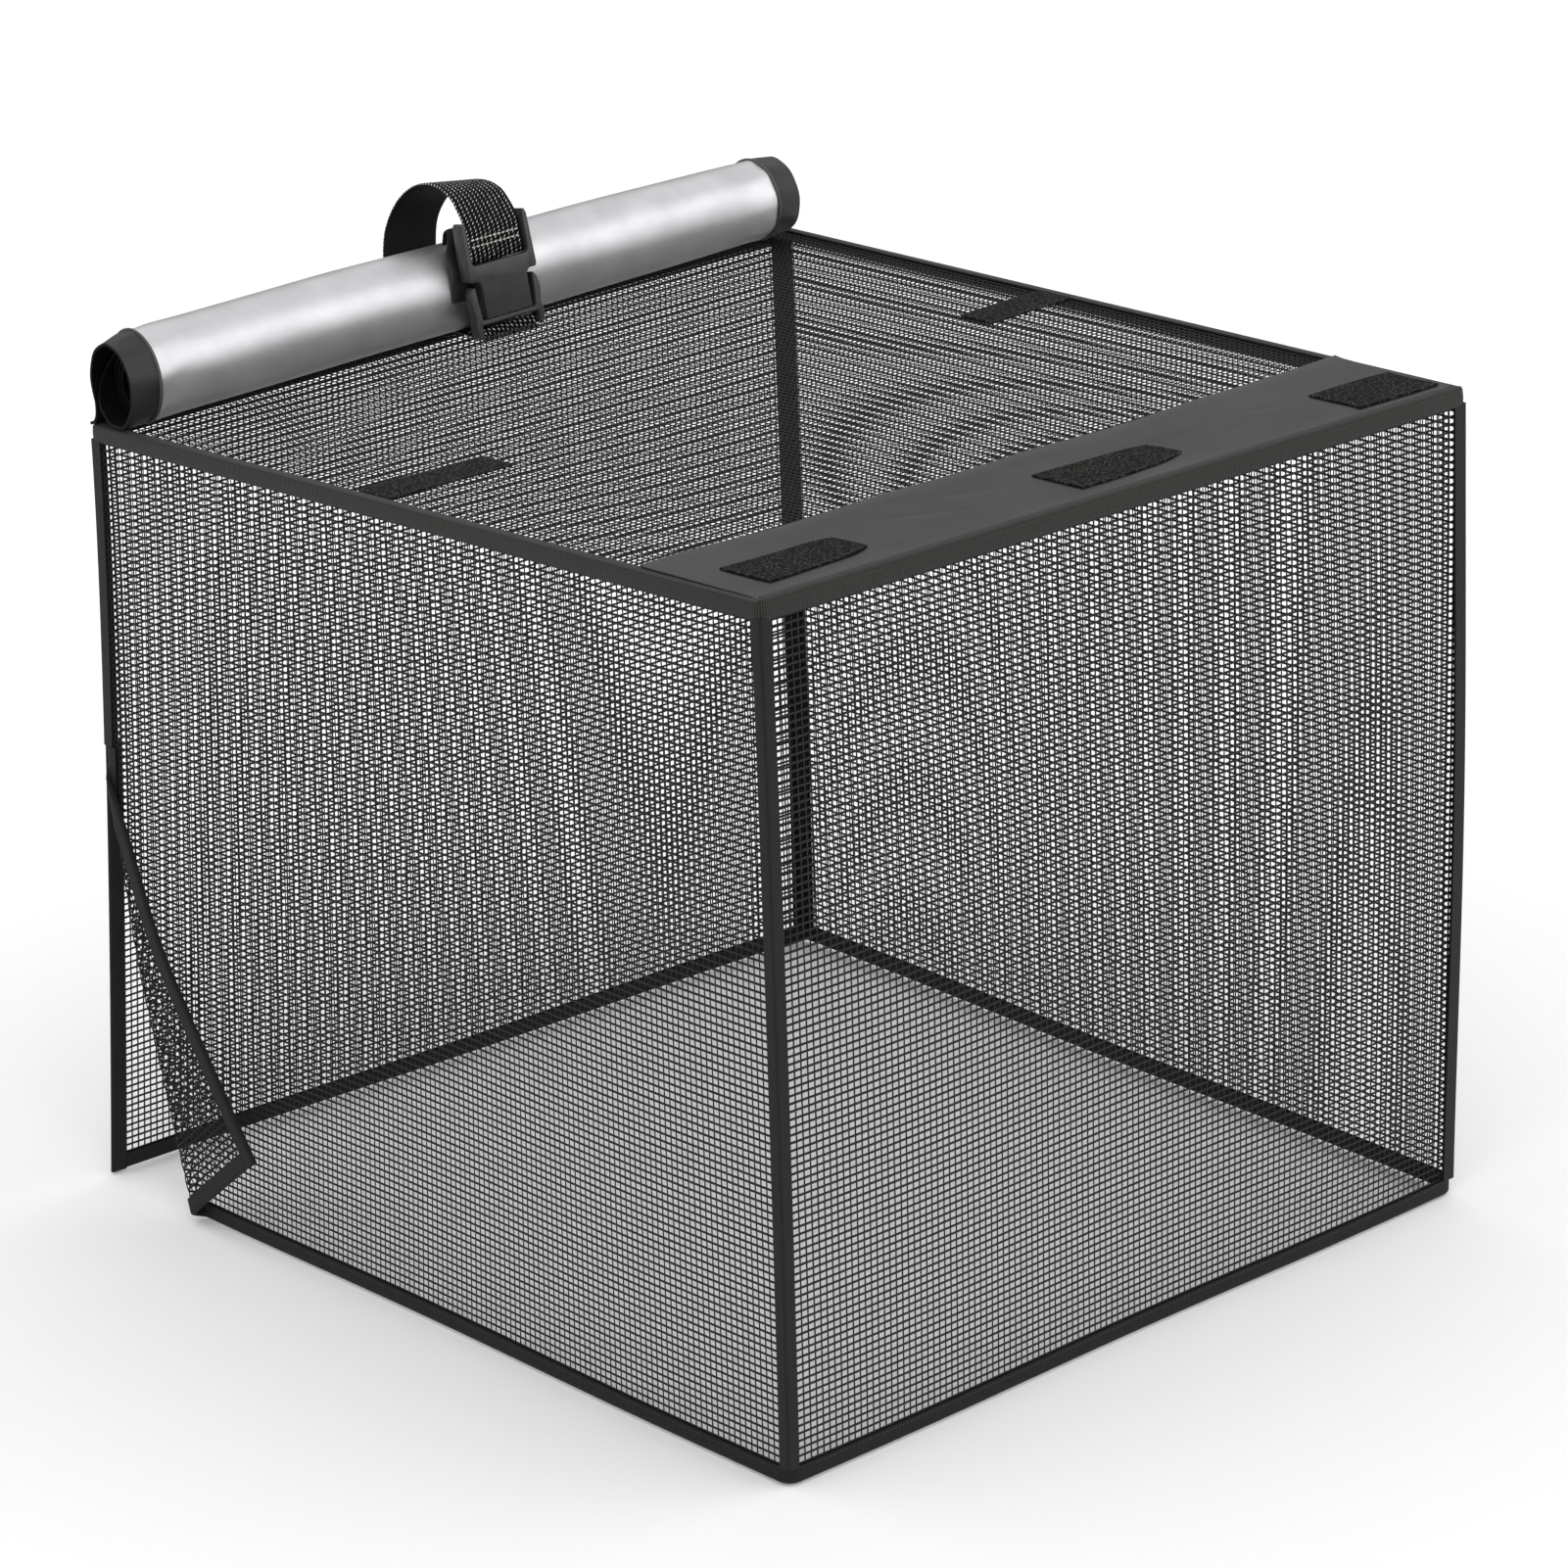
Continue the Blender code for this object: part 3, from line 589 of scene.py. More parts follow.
@dataclass(frozen=True)
class SewingThread(Finish):
    """Spun polyester thread, whose light twist breaks its shine into dull grains."""

    colour: str
    shade_side: str = "#101010"
    twists_per_metre: float = 900.0

    def shade(self, tree: Tree) -> dict:
        """Adds the thread's twist.

        Args:
            tree: the material's node tree.

        Returns:
            The shader's inputs, each with its value or its link.
        """
        spot = add_node(tree, Kind.PLACE, output="Object")
        twist = add_node(tree, Kind.NOISE, inputs={"Vector": spot, "Scale": self.twists_per_metre})
        stops = [(0.2, self.shade_side), (0.6, self.colour)]
        return {
            "Base Color": add_node(tree, Kind.RAMP, inputs={"Fac": twist}, stops=stops),
            "Roughness": 0.7,
            "Normal": add_node(tree, Kind.BUMP, inputs={
                "Height": twist, "Distance": 0.0001, "Strength": 0.6}),
        }


@dataclass(frozen=True)
class StudioFloor(Finish):
    """Matt white studio floor with a very faint tone."""

    name: str = "matt_studio_floor"
    dark: str = "#f4f4f4"
    light: str = "#f8f8f8"
    clouds_per_metre: float = 0.6

    def shade(self, tree: Tree) -> dict:
        """Adds the floor's tone.

        Args:
            tree: the material's node tree.

        Returns:
            The shader's inputs, each with its value or its link.
        """
        spot = add_node(tree, Kind.PLACE, output="Object")
        tone = add_node(tree, Kind.NOISE, inputs={"Vector": spot, "Scale": self.clouds_per_metre})
        stops = [(0.2, self.dark), (0.8, self.light)]
        return {
            "Base Color": add_node(tree, Kind.RAMP, inputs={"Fac": tone}, stops=stops),
            "Roughness": 0.9,
        }


@dataclass
class Finishes:
    """All materials, made once."""

    net: Material = field(default_factory=lambda: NetYarn().make())
    # The pale colour of each ribbed tape is painted highlight on its rib crests.
    rim_tape: Material = field(
        default_factory=lambda: RibbedTape("grosgrain_tape", "#121211", "#3e3e3b").make())
    hem_tape: Material = field(
        default_factory=lambda: RibbedTape("smooth_woven_tape", "#0a0a0a", "#161616", 1.2, 0.03).make())
    seam_tape: Material = field(
        default_factory=lambda: RibbedTape("woven_seam_tape", "#0a0a0a", "#1e1e1d").make())
    strip: Material = field(
        default_factory=lambda: CoatedCloth(
            "coated_oxford_cloth", "#191918", "#2c2c2b", 1.1, 0.42, 0.45).make())
    band: Material = field(
        default_factory=lambda: CoatedCloth("coated_edge_tape", "#151515", "#212120", 1.1, 0.45, 0.35).make())
    # Near-black back of the cloth, partly its own colour and partly painted shade: it darkens the inner turns
    # and covers the cut ends, so the roll's open ends read dark.
    dark_back_and_shade: Material = field(
        default_factory=lambda: CoatedCloth("dark_cloth_back_and_painted_shade", "#070707", "#0c0c0c", 1.1, 0.8, 0.1).make())
    hooks: Material = field(default_factory=lambda: HookTape().make())
    silver: Material = field(default_factory=lambda: SilverCloth().make())
    webbing: Material = field(default_factory=lambda: StrapWebbing().make())
    webbing_back: Material = field(
        default_factory=lambda: CoatedCloth("flat_webbing_back", "#131312", "#1a1a19", 1.4, 0.8, 0.1).make())
    piping: Material = field(
        default_factory=lambda: CoatedCloth("piping_cloth", "#2c2c2b", "#40403f", 1.1, 0.4, 0.5).make())
    plastic: Material = field(default_factory=lambda: MouldedPlastic().make())
    black_thread: Material = field(
        default_factory=lambda: SewingThread("black_polyester_thread", "#3a3a38").make())
    pale_thread: Material = field(
        default_factory=lambda: SewingThread("pale_polyester_thread", "#d8d8d2").make())
    floor: Material = field(default_factory=lambda: StudioFloor().make())


# Cloth shapes


def past_bend(along: float, up: float) -> float:
    """How far a place of the turned-out wall lies past the start of its bend.

    Args:
        along: distance along the wall from its slit corner.
        up: distance up from the hem.

    Returns:
        Distance square to the bend, less than 0 before it.
    """
    reach = math.hypot(TURN_ALONG, SLIT_HEIGHT)
    return (TURN_ALONG * SLIT_HEIGHT - SLIT_HEIGHT * along - TURN_ALONG * up) / reach


@dataclass
class Wall:
    """One upright side of the cover, from its first corner to its last."""

    first: str
    last: str
    rim_first: Vector = field(init=False)
    rim_last: Vector = field(init=False)
    hem_first: Vector = field(init=False)
    hem_last: Vector = field(init=False)
    length: float = field(init=False)
    out: Vector = field(init=False)

    def __post_init__(self) -> None:
        """Works out the wall's corners, length and outward direction."""
        self.rim_first, self.hem_first = (Vector(p) for p in CORNERS[self.first])
        self.rim_last, self.hem_last = (Vector(p) for p in CORNERS[self.last])
        run = self.rim_last - self.rim_first
        run.z = 0.0
        self.length = run.length
        self.out = run.cross(Vector((0, 0, 1))).normalized()

    def middle(self, along: float, up: float) -> Vector:
        """Middle of the cloth.

        Args:
            along: distance from the first corner.
            up: distance up from the hem.

        Returns:
            The place.
        """
        across = along / self.length
        drop = 1 - up / HEIGHT
        rim = self.rim_first.lerp(self.rim_last, across)
        hem = self.hem_first.lerp(self.hem_last, across)
        point = rim.lerp(hem, max(drop, 0.0) ** FLARE_POWER)
        point.z = rim.z + (hem.z - rim.z) * drop
        inside = min(max(across, 0.0), 1.0)
        wave = math.sin(3 * math.pi * inside) * math.sin(math.pi * min(max(drop, 0.0), 1.0) * 0.85)
        return point + self.out * WALL_WAVE * wave

    def place(self, along: float, up: float, out: float) -> Vector:
        """A point of the wall.

        Args:
            along: distance from the first corner.
            up: distance up from the hem.
            out: distance out from the middle of the cloth.

        Returns:
            The place.
        """
        step = 0.001
        here = self.middle(along, up)
        sideways = self.middle(along + step, up) - here
        upwards = self.middle(along, up + step) - here
        return here + sideways.cross(upwards).normalized() * out

    def below_rim(self, depth: float) -> float:
        """How far up the wall a place a given depth below the rim at the last corner lies."""
        return HEIGHT * (1 - depth / (self.rim_last.z - self.hem_last.z))

    def bend_breaks(self, start: tuple[float, float], end: tuple[float, float]) -> list[float]:
        """Shares of a straight run at which it crosses a bend of the cloth.

        Args:
            start: along and up of the run's start.
            end: along and up of its end.

        Returns:
            No shares, as a plain wall has no bend.
        """
        return []


class TurnedWall(Wall):
    """The wall whose lower first corner is turned out and back round a soft bend that runs slantwise."""

    def place(self, along: float, up: float, out: float) -> Vector:
        """A point of the wall, carried round the bend where it lies past it.

        Args:
            along: distance from the first corner.
            up: distance up from the hem.
            out: distance out from the middle of the cloth.

        Returns:
            The place.
        """
        reach = math.hypot(TURN_ALONG, SLIT_HEIGHT)
        past = past_bend(along, up)
        if past <= 0:
            return super().place(along, up, out)
        climbed = (SLIT_HEIGHT * up - TURN_ALONG * (along - TURN_ALONG)) / reach
        radius = TURN_RADIUS * (1 - TURN_TAPER * smooth_step((climbed / reach - 0.50) / 0.45))
        turn = min(past / radius, TURN_ANGLE)
        beyond = past - turn * radius
        travelled = radius * math.sin(turn) + beyond * math.cos(turn)
        lift = radius * (1 - math.cos(turn)) + beyond * math.sin(turn)
        shift = (past - travelled + out * math.sin(turn)) / reach
        carried = along + shift * SLIT_HEIGHT
        return super().place(carried, up + shift * TURN_ALONG, lift + out * math.cos(turn))

    def bend_breaks(self, start: tuple[float, float], end: tuple[float, float]) -> list[float]:
        """Shares of a straight run at which it crosses the bend's lines.

        Args:
            start: along and up of the run's start.
            end: along and up of its end.

        Returns:
            The shares, from 0 to 1.
        """
        low, high = past_bend(*start), past_bend(*end)
        if abs(high - low) < 1e-9:
            return []
        lines = breaks(0.0, TURN_RADIUS * TURN_ANGLE, TURN_STEPS)
        return [s for s in ((line - low) / (high - low) for line in lines) if 0 < s < 1]


def top_place(x: float, y: float, up: float) -> Vector:
    """A point of the top over a plain plan position.

    Args:
        x: plan position along the long side.
        y: plan position along the short side.
        up: height over the middle of the net.

    Returns:
        The place: the rim's four corners blended, with a little sag.
    """
    across = (x + LENGTH / 2) / LENGTH
    deep = (y + WIDTH / 2) / WIDTH
    near = Vector(CORNERS["left"][0]).lerp(Vector(CORNERS["front"][0]), across)
    far = Vector(CORNERS["back"][0]).lerp(Vector(CORNERS["right"][0]), across)
    sag = TOP_SAG
    for share in (across, deep):
        sag *= math.sin(math.pi * min(max(share, 0.0), 1.0))
    return near.lerp(far, deep) + Vector((0, 0, up - sag))


def flat_grid(us: Sequence[float], vs: Sequence[float]) -> bmesh.types.BMesh:
    """A flat mesh with a point at each pair of values.

    Args:
        us: values along the first axis.
        vs: values along the second axis.

    Returns:
        The mesh.
    """
    flat = bmesh.new()
    rows = [[flat.verts.new((u, v, 0.0)) for u in us] for v in vs]
    for low, high in zip(rows, rows[1:]):
        for i in range(len(us) - 1):
            flat.faces.new((low[i], low[i + 1], high[i + 1], high[i]))
    return flat


def cut_along_bend(flat: bmesh.types.BMesh, past: Callable[[float, float], float],
                   chosen: Callable[[Vector], bool]) -> None:
    """Cuts flat faces along the lines of the bend, so that all layers bend in the same places.

    Args:
        flat: the flat mesh.
        past: distance past the bend's start at a flat point.
        chosen: tells by a face's middle whether it is cut.
    """
    start = past(0.0, 0.0)
    slope = Vector((past(1.0, 0.0) - start, past(0.0, 1.0) - start, 0.0))
    for line in breaks(0.0, TURN_RADIUS * TURN_ANGLE, TURN_STEPS):
        faces = [f for f in flat.faces if chosen(f.calc_center_median())]
        edges = list({e: None for f in faces for e in f.edges})
        verts = list({v: None for f in faces for v in f.verts})
        on_line = slope * ((line - start) / slope.length_squared)
        bmesh.ops.bisect_plane(flat, geom=faces + edges + verts, dist=1e-6, plane_co=on_line, plane_no=slope)


def sheet_mesh(flat: bmesh.types.BMesh, place: Place, thickness: float,
               edge_number: int = 0) -> bmesh.types.BMesh:
    """A closed sheet of cloth with its flat places as UVs in metres.

    Args:
        flat: the flat mesh, used up.
        place: puts a flat point, at a distance from the cloth's middle, in space.
        thickness: the cloth's thickness.
        edge_number: material number of its cut edges.

    Returns:
        The sheet. Faces of its outer side have material number 0, and of its inner side 1.
    """
    sheet = bmesh.new()
    uv = sheet.loops.layers.uv.new("cloth")
    half = thickness / 2
    front = {v: sheet.verts.new(place(v.co.x, v.co.y, half)) for v in flat.verts}
    back = {v: sheet.verts.new(place(v.co.x, v.co.y, -half)) for v in flat.verts}
    flat_of = {made: (v.co.x, v.co.y) for side in (front, back) for v, made in side.items()}
    for face in flat.faces:
        sheet.faces.new([front[v] for v in face.verts])
        sheet.faces.new([back[v] for v in reversed(face.verts)]).material_index = 1
    for edge in flat.edges:
        if edge.is_boundary:
            a = edge.link_loops[0].vert
            b = edge.other_vert(a)
            sheet.faces.new((front[a], back[a], back[b], front[b])).material_index = edge_number
    for face in sheet.faces:
        for loop in face.loops:
            loop[uv].uv = flat_of[loop.vert]
    flat.free()
    bmesh.ops.recalc_face_normals(sheet, faces=sheet.faces[:])
    return sheet


def finish_piece(name: str, shape: bmesh.types.BMesh, slot: Slot, materials: Sequence[Material],
                 nodes: Sequence[str] = (), smooth_under: float = 40) -> bpy.types.Object:
    """Makes an object of a mesh, dresses it and ties it to the part.

    Args:
        name: the piece's name.
        shape: its mesh, used up.
        slot: the record's material slot; not used.
        materials: its materials, by material number.
        nodes: the solids that it stands for.
        smooth_under: angle between faces under which they are shaded as one surface, in degrees.

    Returns:
        The object.
    """
    mesh = bpy.data.meshes.new(name)
    shape.to_mesh(mesh)
    shape.free()
    for material in materials:
        mesh.materials.append(material)
    if len(materials) == 1:
        mesh.polygons.foreach_set("material_index", [0] * len(mesh.polygons))
    mesh.shade_smooth()
    mesh.set_sharp_from_angle(angle=math.radians(smooth_under))
    piece = bpy.data.objects.new(name, mesh)
    bpy.context.scene.collection.objects.link(piece)
    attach(piece, "root")
    if nodes:
        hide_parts(*nodes)
    LOG.info("%s: %d faces", name, len(mesh.polygons))
    return piece


def folded_across(width: float, stand: float) -> tuple[float, float]:
    """Where a tape folded over an edge lies.

    Args:
        width: place across the tape, 0 at its fold.
        stand: distance from the middle of the tape's thickness.

    Returns:
        How far in from the edge, and how far out from the cloth.
    """
    quarter = TAPE_STAND * math.pi / 2
    if abs(width) <= quarter:
        angle = width / TAPE_STAND
        return -(TAPE_STAND + stand) * math.cos(angle), (TAPE_STAND + stand) * math.sin(angle)
    return abs(width) - quarter, math.copysign(TAPE_STAND + stand, width)


def folded_widths(leg_steps: int, bend_steps: int = 6) -> list[float]:
    """Breaks across a folded tape.

    Args:
        leg_steps: steps across each leg.
        bend_steps: steps over the fold.

    Returns:
        The places across the tape.
    """
    quarter = TAPE_STAND * math.pi / 2
    leg = breaks(quarter, quarter + TAPE_LEG, leg_steps)
    return [-w for w in reversed(leg)] + breaks(-quarter, quarter, bend_steps)[1:-1] + leg


@dataclass
class StitchRow:
    """A row of machine stitches: small thread beads along a line on the cloth."""

    pitch: float = 0.0036
    length: float = 0.0027
    thread: float = 0.00055

    def add(self, shape: bmesh.types.BMesh, line: Sequence[Vector], outs: Sequence[Vector]) -> None:
        """Adds a row's stitches to a mesh.

        Args:
            shape: the mesh to add to.
            line: points of the seam, a pitch or more apart.
            outs: the cloth's outward direction at each point.
        """
        travelled, wanted = 0.0, self.pitch / 2
        for i in range(len(line) - 1):
            run = line[i + 1] - line[i]
            span = run.length
            if span < 1e-9:
                continue
            direction = run / span
            while wanted <= travelled + span:
                share = (wanted - travelled) / span
                out = outs[i].lerp(outs[i + 1], share).normalized()
                self.bead(shape, line[i].lerp(line[i + 1], share), direction, out)
                wanted += self.pitch
            travelled += span

    def bead(self, shape: bmesh.types.BMesh, middle: Vector, direction: Vector, out: Vector) -> None:
        """Adds one stitch, sunk at its ends.

        Args:
            shape: the mesh to add to.
            middle: the stitch's place on the cloth.
            direction: its run.
            out: the cloth's outward direction.
        """
        side = direction.cross(out).normalized()
        half, thick = self.length / 2, self.thread / 2
        rings = []
        for share, swell in ((-1.0, 0.35), (-0.55, 0.95), (0.55, 0.95), (1.0, 0.35)):
            sunk = out * (thick * (0.75 if swell > 0.5 else 0.1))
            centre = middle + direction * half * share + sunk
            rings.append([shape.verts.new(centre + (side * math.cos(a) + out * math.sin(a)) * thick * swell)
                          for a in (0, math.pi / 2, math.pi, 3 * math.pi / 2)])
        for low, high in zip(rings, rings[1:]):
            for i in range(4):
                j = (i + 1) % 4
                shape.faces.new((low[i], low[j], high[j], high[i]))
        shape.faces.new(list(reversed(rings[0])))
        shape.faces.new(rings[-1])


# Sub-assemblies


@dataclass
class NetPanel:
    """A panel of net: two sets of coated strands that cross and are fused where they meet."""

    name: str
    node: str
    wide: float
    high: float
    place: Place
    run_breaks: Callable[[tuple[float, float], tuple[float, float]], list[float]]
    start: float = 0.0
    low: float = 0.0
    upright_pitch: float = 0.0054
    level_pitch: float = 0.0054
    upright_width: float = 0.00135
    level_width: float = 0.00185
    depth: float = 0.0009
    over: float = 0.00018
    side_width: float = 0.0007
    segment: float = 0.022

    def strand(self, data: tuple[list, list, list], first: tuple[float, float], last: tuple[float, float],
               width: float, level: bool) -> None:
        """Adds one strand.

        Args:
            data: lists of points, faces and face UVs to add to.
            first: flat start of the strand.
            last: flat end.
            width: the strand's width in the plane of the net.
            level: whether it runs along the panel.
        """
        points, faces, uvs = data
        run = math.hypot(last[0] - first[0], last[1] - first[1])
        even = breaks(0.0, 1.0, max(2, round(run / self.segment)))
        shares = sorted(set(even + self.run_breaks(first, last)))
        side = (0.0, width / 2) if level else (width / 2, 0.0)
        shift = self.over if level else -self.over
        ring_start = len(points)
        for share in shares:
            a = first[0] + (last[0] - first[0]) * share
            b = first[1] + (last[1] - first[1]) * share
            points.append(self.place(a - side[0], b - side[1], shift))
            points.append(self.place(a, b, shift + self.depth / 2))
            points.append(self.place(a + side[0], b + side[1], shift))
            points.append(self.place(a, b, shift - self.depth / 2))
        seed = (first[0] * 7.31 + first[1] * 3.77) % 1.0
        for k in range(len(shares) - 1):
            low, high = ring_start + 4 * k, ring_start + 4 * (k + 1)
            near, far = shares[k] * run + seed, shares[k + 1] * run + seed
            for i in range(4):
                j = (i + 1) % 4
                face = (low + i, low + j, high + j, high + i)
                inner, outer = i * self.side_width, (i + 1) * self.side_width
                corner = [(near, inner), (near, outer), (far, outer), (far, inner)]
                order = (0, 3, 2, 1) if level else (0, 1, 2, 3)
                faces.append(tuple(face[n] for n in order))
                uvs.extend([corner[n] for n in order])
        end = ring_start + 4 * (len(shares) - 1)
        for cap in (tuple(range(ring_start + 3, ring_start - 1, -1)), tuple(range(end, end + 4))):
            faces.append(cap if not level else tuple(reversed(cap)))
            uvs.extend([(seed, 0.0)] * 4)

    def build(self, finishes: Finishes) -> bpy.types.Object:
        """Builds the panel.

        Args:
            finishes: the materials.

        Returns:
            The panel's object.
        """
        data: tuple[list, list, list] = ([], [], [])
        columns = round(self.wide / self.upright_pitch)
        rows = round(self.high / self.level_pitch)
        for i in range(1, columns):
            a = self.start + self.wide * i / columns
            self.strand(data, (a, self.low), (a, self.low + self.high), self.upright_width, False)
        for i in range(1, rows):
            b = self.low + self.high * i / rows
            self.strand(data, (self.start, b), (self.start + self.wide, b), self.level_width, True)
        points, faces, uvs = data
        mesh = bpy.data.meshes.new(self.name)
        mesh.from_pydata(points, [], faces)
        layer = mesh.uv_layers.new(name="cloth")
        layer.data.foreach_set("uv", [c for pair in uvs for c in pair])
        mesh.materials.append(finishes.net)
        mesh.shade_smooth()
        piece = bpy.data.objects.new(self.name, mesh)
        bpy.context.scene.collection.objects.link(piece)
        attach(piece, "root")
        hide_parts(self.node)
        LOG.info("%s: %d strands, %d faces", self.name, columns + rows - 2, len(mesh.polygons))
        return piece


@dataclass
class Station:
    """A cut across a tape that runs round the cover: a place on the edge, the way out and the way up."""

    point: Vector
    out: Vector
    up: Vector = field(default_factory=lambda: Vector((0, 0, 1)))
    warp: Callable[[float, float], Vector] | None = None

    def at(self, out: float, up: float) -> Vector:
        """A point of the cut.

        Args:
            out: distance out from the edge.
            up: distance up from it.

        Returns:
            The place.
        """
        if self.warp:
            return self.warp(out, up)
        return self.point + self.out * out + self.up * up


def corner_stations(point: Vector, first_out: Vector, last_out: Vector, radius: float,
                    steps: int) -> list[Station]:
    """Cuts of a tape round a corner.

    Args:
        point: the corner.
        first_out: the way out of the side before it.
        last_out: the way out of the side after it.
        radius: the corner's rounding.
        steps: steps round it.

    Returns:
        The cuts, ends left out.
    """
    centre = point - (first_out + last_out) * radius
    made = []
    for angle in breaks(0.0, math.pi / 2, steps)[1:-1]:
        out = (first_out * math.cos(angle) + last_out * math.sin(angle)).normalized()
        made.append(Station(centre + out * radius, out))
    return made


@dataclass
class Bindings:
    """The tapes: round the rim, round the hem, up the corners and down the slit's edges."""

    walls: dict[str, Wall]
    rim_round: float = 0.005
    hem_round: float = 0.008
    # How far the rim tape stands up over the strip, and how far its wall leg puffs out.
    over_strip: float = 0.0014
    puff: float = 0.0004
    # How far the stitches are from the tape's edge, and from the corners at the hem.
    seam_inset: float = 0.002
    seam_end: float = 0.02
    turned_seam_end: float = 0.125

    def rim_stations(self) -> list[Station]:
        """Cuts of the rim tape, once round from the left corner.

        Returns:
            The cuts, the first one once more at the end.
        """
        order = ["front_left", "front_right", "back_right", "back_left"]
        made: list[Station] = []
        for i, name in enumerate(order):
            wall, after = self.walls[name], self.walls[order[(i + 1) % 4]]
            trim = self.rim_round / wall.length
            for share in breaks(trim, 1 - trim, 14):
                made.append(Station(wall.rim_first.lerp(wall.rim_last, share), wall.out))
            made += corner_stations(wall.rim_last, wall.out, after.out, self.rim_round, 7)
        return made + [made[0]]

    def rim_tape(self, finishes: Finishes) -> bpy.types.Object:
        """Builds the rim tape as one length round the cover.

        Args:
            finishes: the materials.

        Returns:
            The tape's object.
        """
        stations = self.rim_stations()
        run = [0.0]
        for low, high in zip(stations, stations[1:]):
            run.append(run[-1] + (high.point - low.point).length + (high.out - low.out).length * TAPE_STAND)
        by_run = dict(zip(run, stations))
        quarter = TAPE_STAND * math.pi / 2

        def place(along: float, width: float, stand: float) -> Vector:
            """Puts a point of the tape: its wall leg, its fold over the edge, and its leg on the top.

            Args:
                along: distance round the rim.
                width: place across the tape, less than 0 on the wall.
                stand: distance from the middle of the tape's thickness.

            Returns:
                The place.
            """
            station = by_run[min(by_run, key=lambda r: abs(r - along))]
            over_strip = self.over_strip * smooth_step(station.out.x * 1.5 - 0.4)
            puff = self.puff * math.sin(math.pi * min(max(-width / TAPE_LEG, 0.0), 1.0))
            radius = TAPE_STAND + stand
            if width <= 0:
                return station.at(radius + puff, width)
            if width <= quarter:
                angle = width / TAPE_STAND
                lift = over_strip * math.sin(angle)
                return station.at(radius * math.cos(angle), radius * math.sin(angle) + lift)
            return station.at(quarter - width, radius + over_strip)

        top_leg = [quarter + RIM_TOP_LEG / 2, quarter + RIM_TOP_LEG]
        widths = breaks(-TAPE_LEG, 0.0, 4) + breaks(0.0, quarter, 5)[1:] + top_leg
        shape = sheet_mesh(flat_grid(run, widths), place, TAPE_THICKNESS)
        nodes = ["rim_binding_" + name for name in self.walls]
        piece = finish_piece("rim_tape", shape, Slot.BINDING, [finishes.rim_tape], nodes)
        return piece

    def hem_tape(self, finishes: Finishes) -> bpy.types.Object:
        """Builds the hem tape as one length from one edge of the slit round to the other.

        Args:
            finishes: the materials.

        Returns:
            The tape's object.
        """
        past_slit = TAPE_LEG + CLEARANCE
        order = ["front_left", "front_right", "back_right", "back_left"]
        stations: list[tuple[float, Callable[[float, float], Vector]]] = []
        run = 0.0
        for i, name in enumerate(order):
            wall = self.walls[name]
            first = SLIT_EDGE + past_slit if i == 0 else self.hem_round
            last = wall.length - (REAR_SLIT_EDGE + past_slit if i == 3 else self.hem_round)
            shares = set(breaks(0.0, 1.0, 30))
            for inset in (0.0, TAPE_LEG):
                shares |= set(wall.bend_breaks((first, inset), (last, inset)))
            for share in sorted(shares):
                along = first + (last - first) * share
                stations.append((run + along - first, lambda up, out, w=wall, a=along: w.place(a, up, out)))
            run += last - first
            if i < 3:
                after = self.walls[order[i + 1]]
                for step in range(1, 8):
                    angle = math.pi / 2 * step / 8
                    stations.append((run + self.hem_round * angle, self.round_corner(wall, after, angle)))
                run += self.hem_round * math.pi / 2
        by_run = dict(stations)

        def place(along: float, width: float, stand: float) -> Vector:
            """Puts a point of the tape folded over the hem."""
            inward, out = folded_across(width, stand)
            return by_run[min(by_run, key=lambda r: abs(r - along))](inward, out)

        shape = sheet_mesh(flat_grid([s[0] for s in stations], folded_widths(5)), place, TAPE_THICKNESS)
        nodes = ["hem_binding_" + name for name in order]
        piece = finish_piece("hem_tape", shape, Slot.BINDING, [finishes.hem_tape], nodes)
        return piece

    def round_corner(self, wall: Wall, after: Wall, angle: float) -> Callable[[float, float], Vector]:
        """A cut of the hem tape in a rounded corner.

        Args:
            wall: the wall before the corner.
            after: the wall after it.
            angle: how far round the corner.

        Returns:
            A function that puts a point by its distance up and out.
        """

        def cut(up: float, out: float) -> Vector:
            """Puts a point of the cut."""
            corner = after.place(0.0, up, 0.0)
            direction = wall.out * math.cos(angle) + after.out * math.sin(angle)
            return corner - (wall.out + after.out) * self.hem_round + direction * (self.hem_round + out)

        return cut

    def corner_tape(self, name: str, wall: Wall, after: Wall, leg: float, lowest: float, bulge: float,
                    finishes: Finishes) -> bpy.types.Object:
        """Builds the tape round an upright corner.

        Args:
            name: the solid it stands for.
            wall: the wall before the corner.
            after: the wall after it.
            leg: the tape's width on each wall.
            lowest: how far above the hem it starts.
            bulge: how far it stands off half way up.
            finishes: the materials.

        Returns:
            The tape's object.
        """
        quarter = TAPE_STAND * math.pi / 2

        def place(up: float, width: float, stand: float) -> Vector:
            """Puts a point of the tape.

            Args:
                up: distance up from the hem.
                width: place across the tape, less than 0 on the wall before the corner.
                stand: distance from the middle of the tape's thickness.

            Returns:
                The place.
            """
            out = TAPE_STAND + stand
            if width < 0:
                point = wall.place(wall.length + width, up, out)
            elif width > quarter:
                point = after.place(width - quarter, up, out)
            else:
                angle = width / TAPE_STAND
                way = wall.out * math.cos(angle) + after.out * math.sin(angle)
                point = after.place(0.0, up, 0.0) + way * out
            over = bulge * math.sin(math.pi * min(max(up / HEIGHT, 0.0), 1.0)) ** 2
            return point + (wall.out + after.out) * over

        highest = min(side.below_rim(TAPE_LEG * 0.9) for side in (wall, after))
        widths = [-leg, -leg / 2] + breaks(0.0, quarter, 6) + [quarter + leg / 2, quarter + leg]
        shape = sheet_mesh(flat_grid(breaks(lowest, highest, 60), widths), place, TAPE_THICKNESS)
        piece = finish_piece(name + "_cloth", shape, Slot.BINDING, [finishes.seam_tape], [name])
        return piece

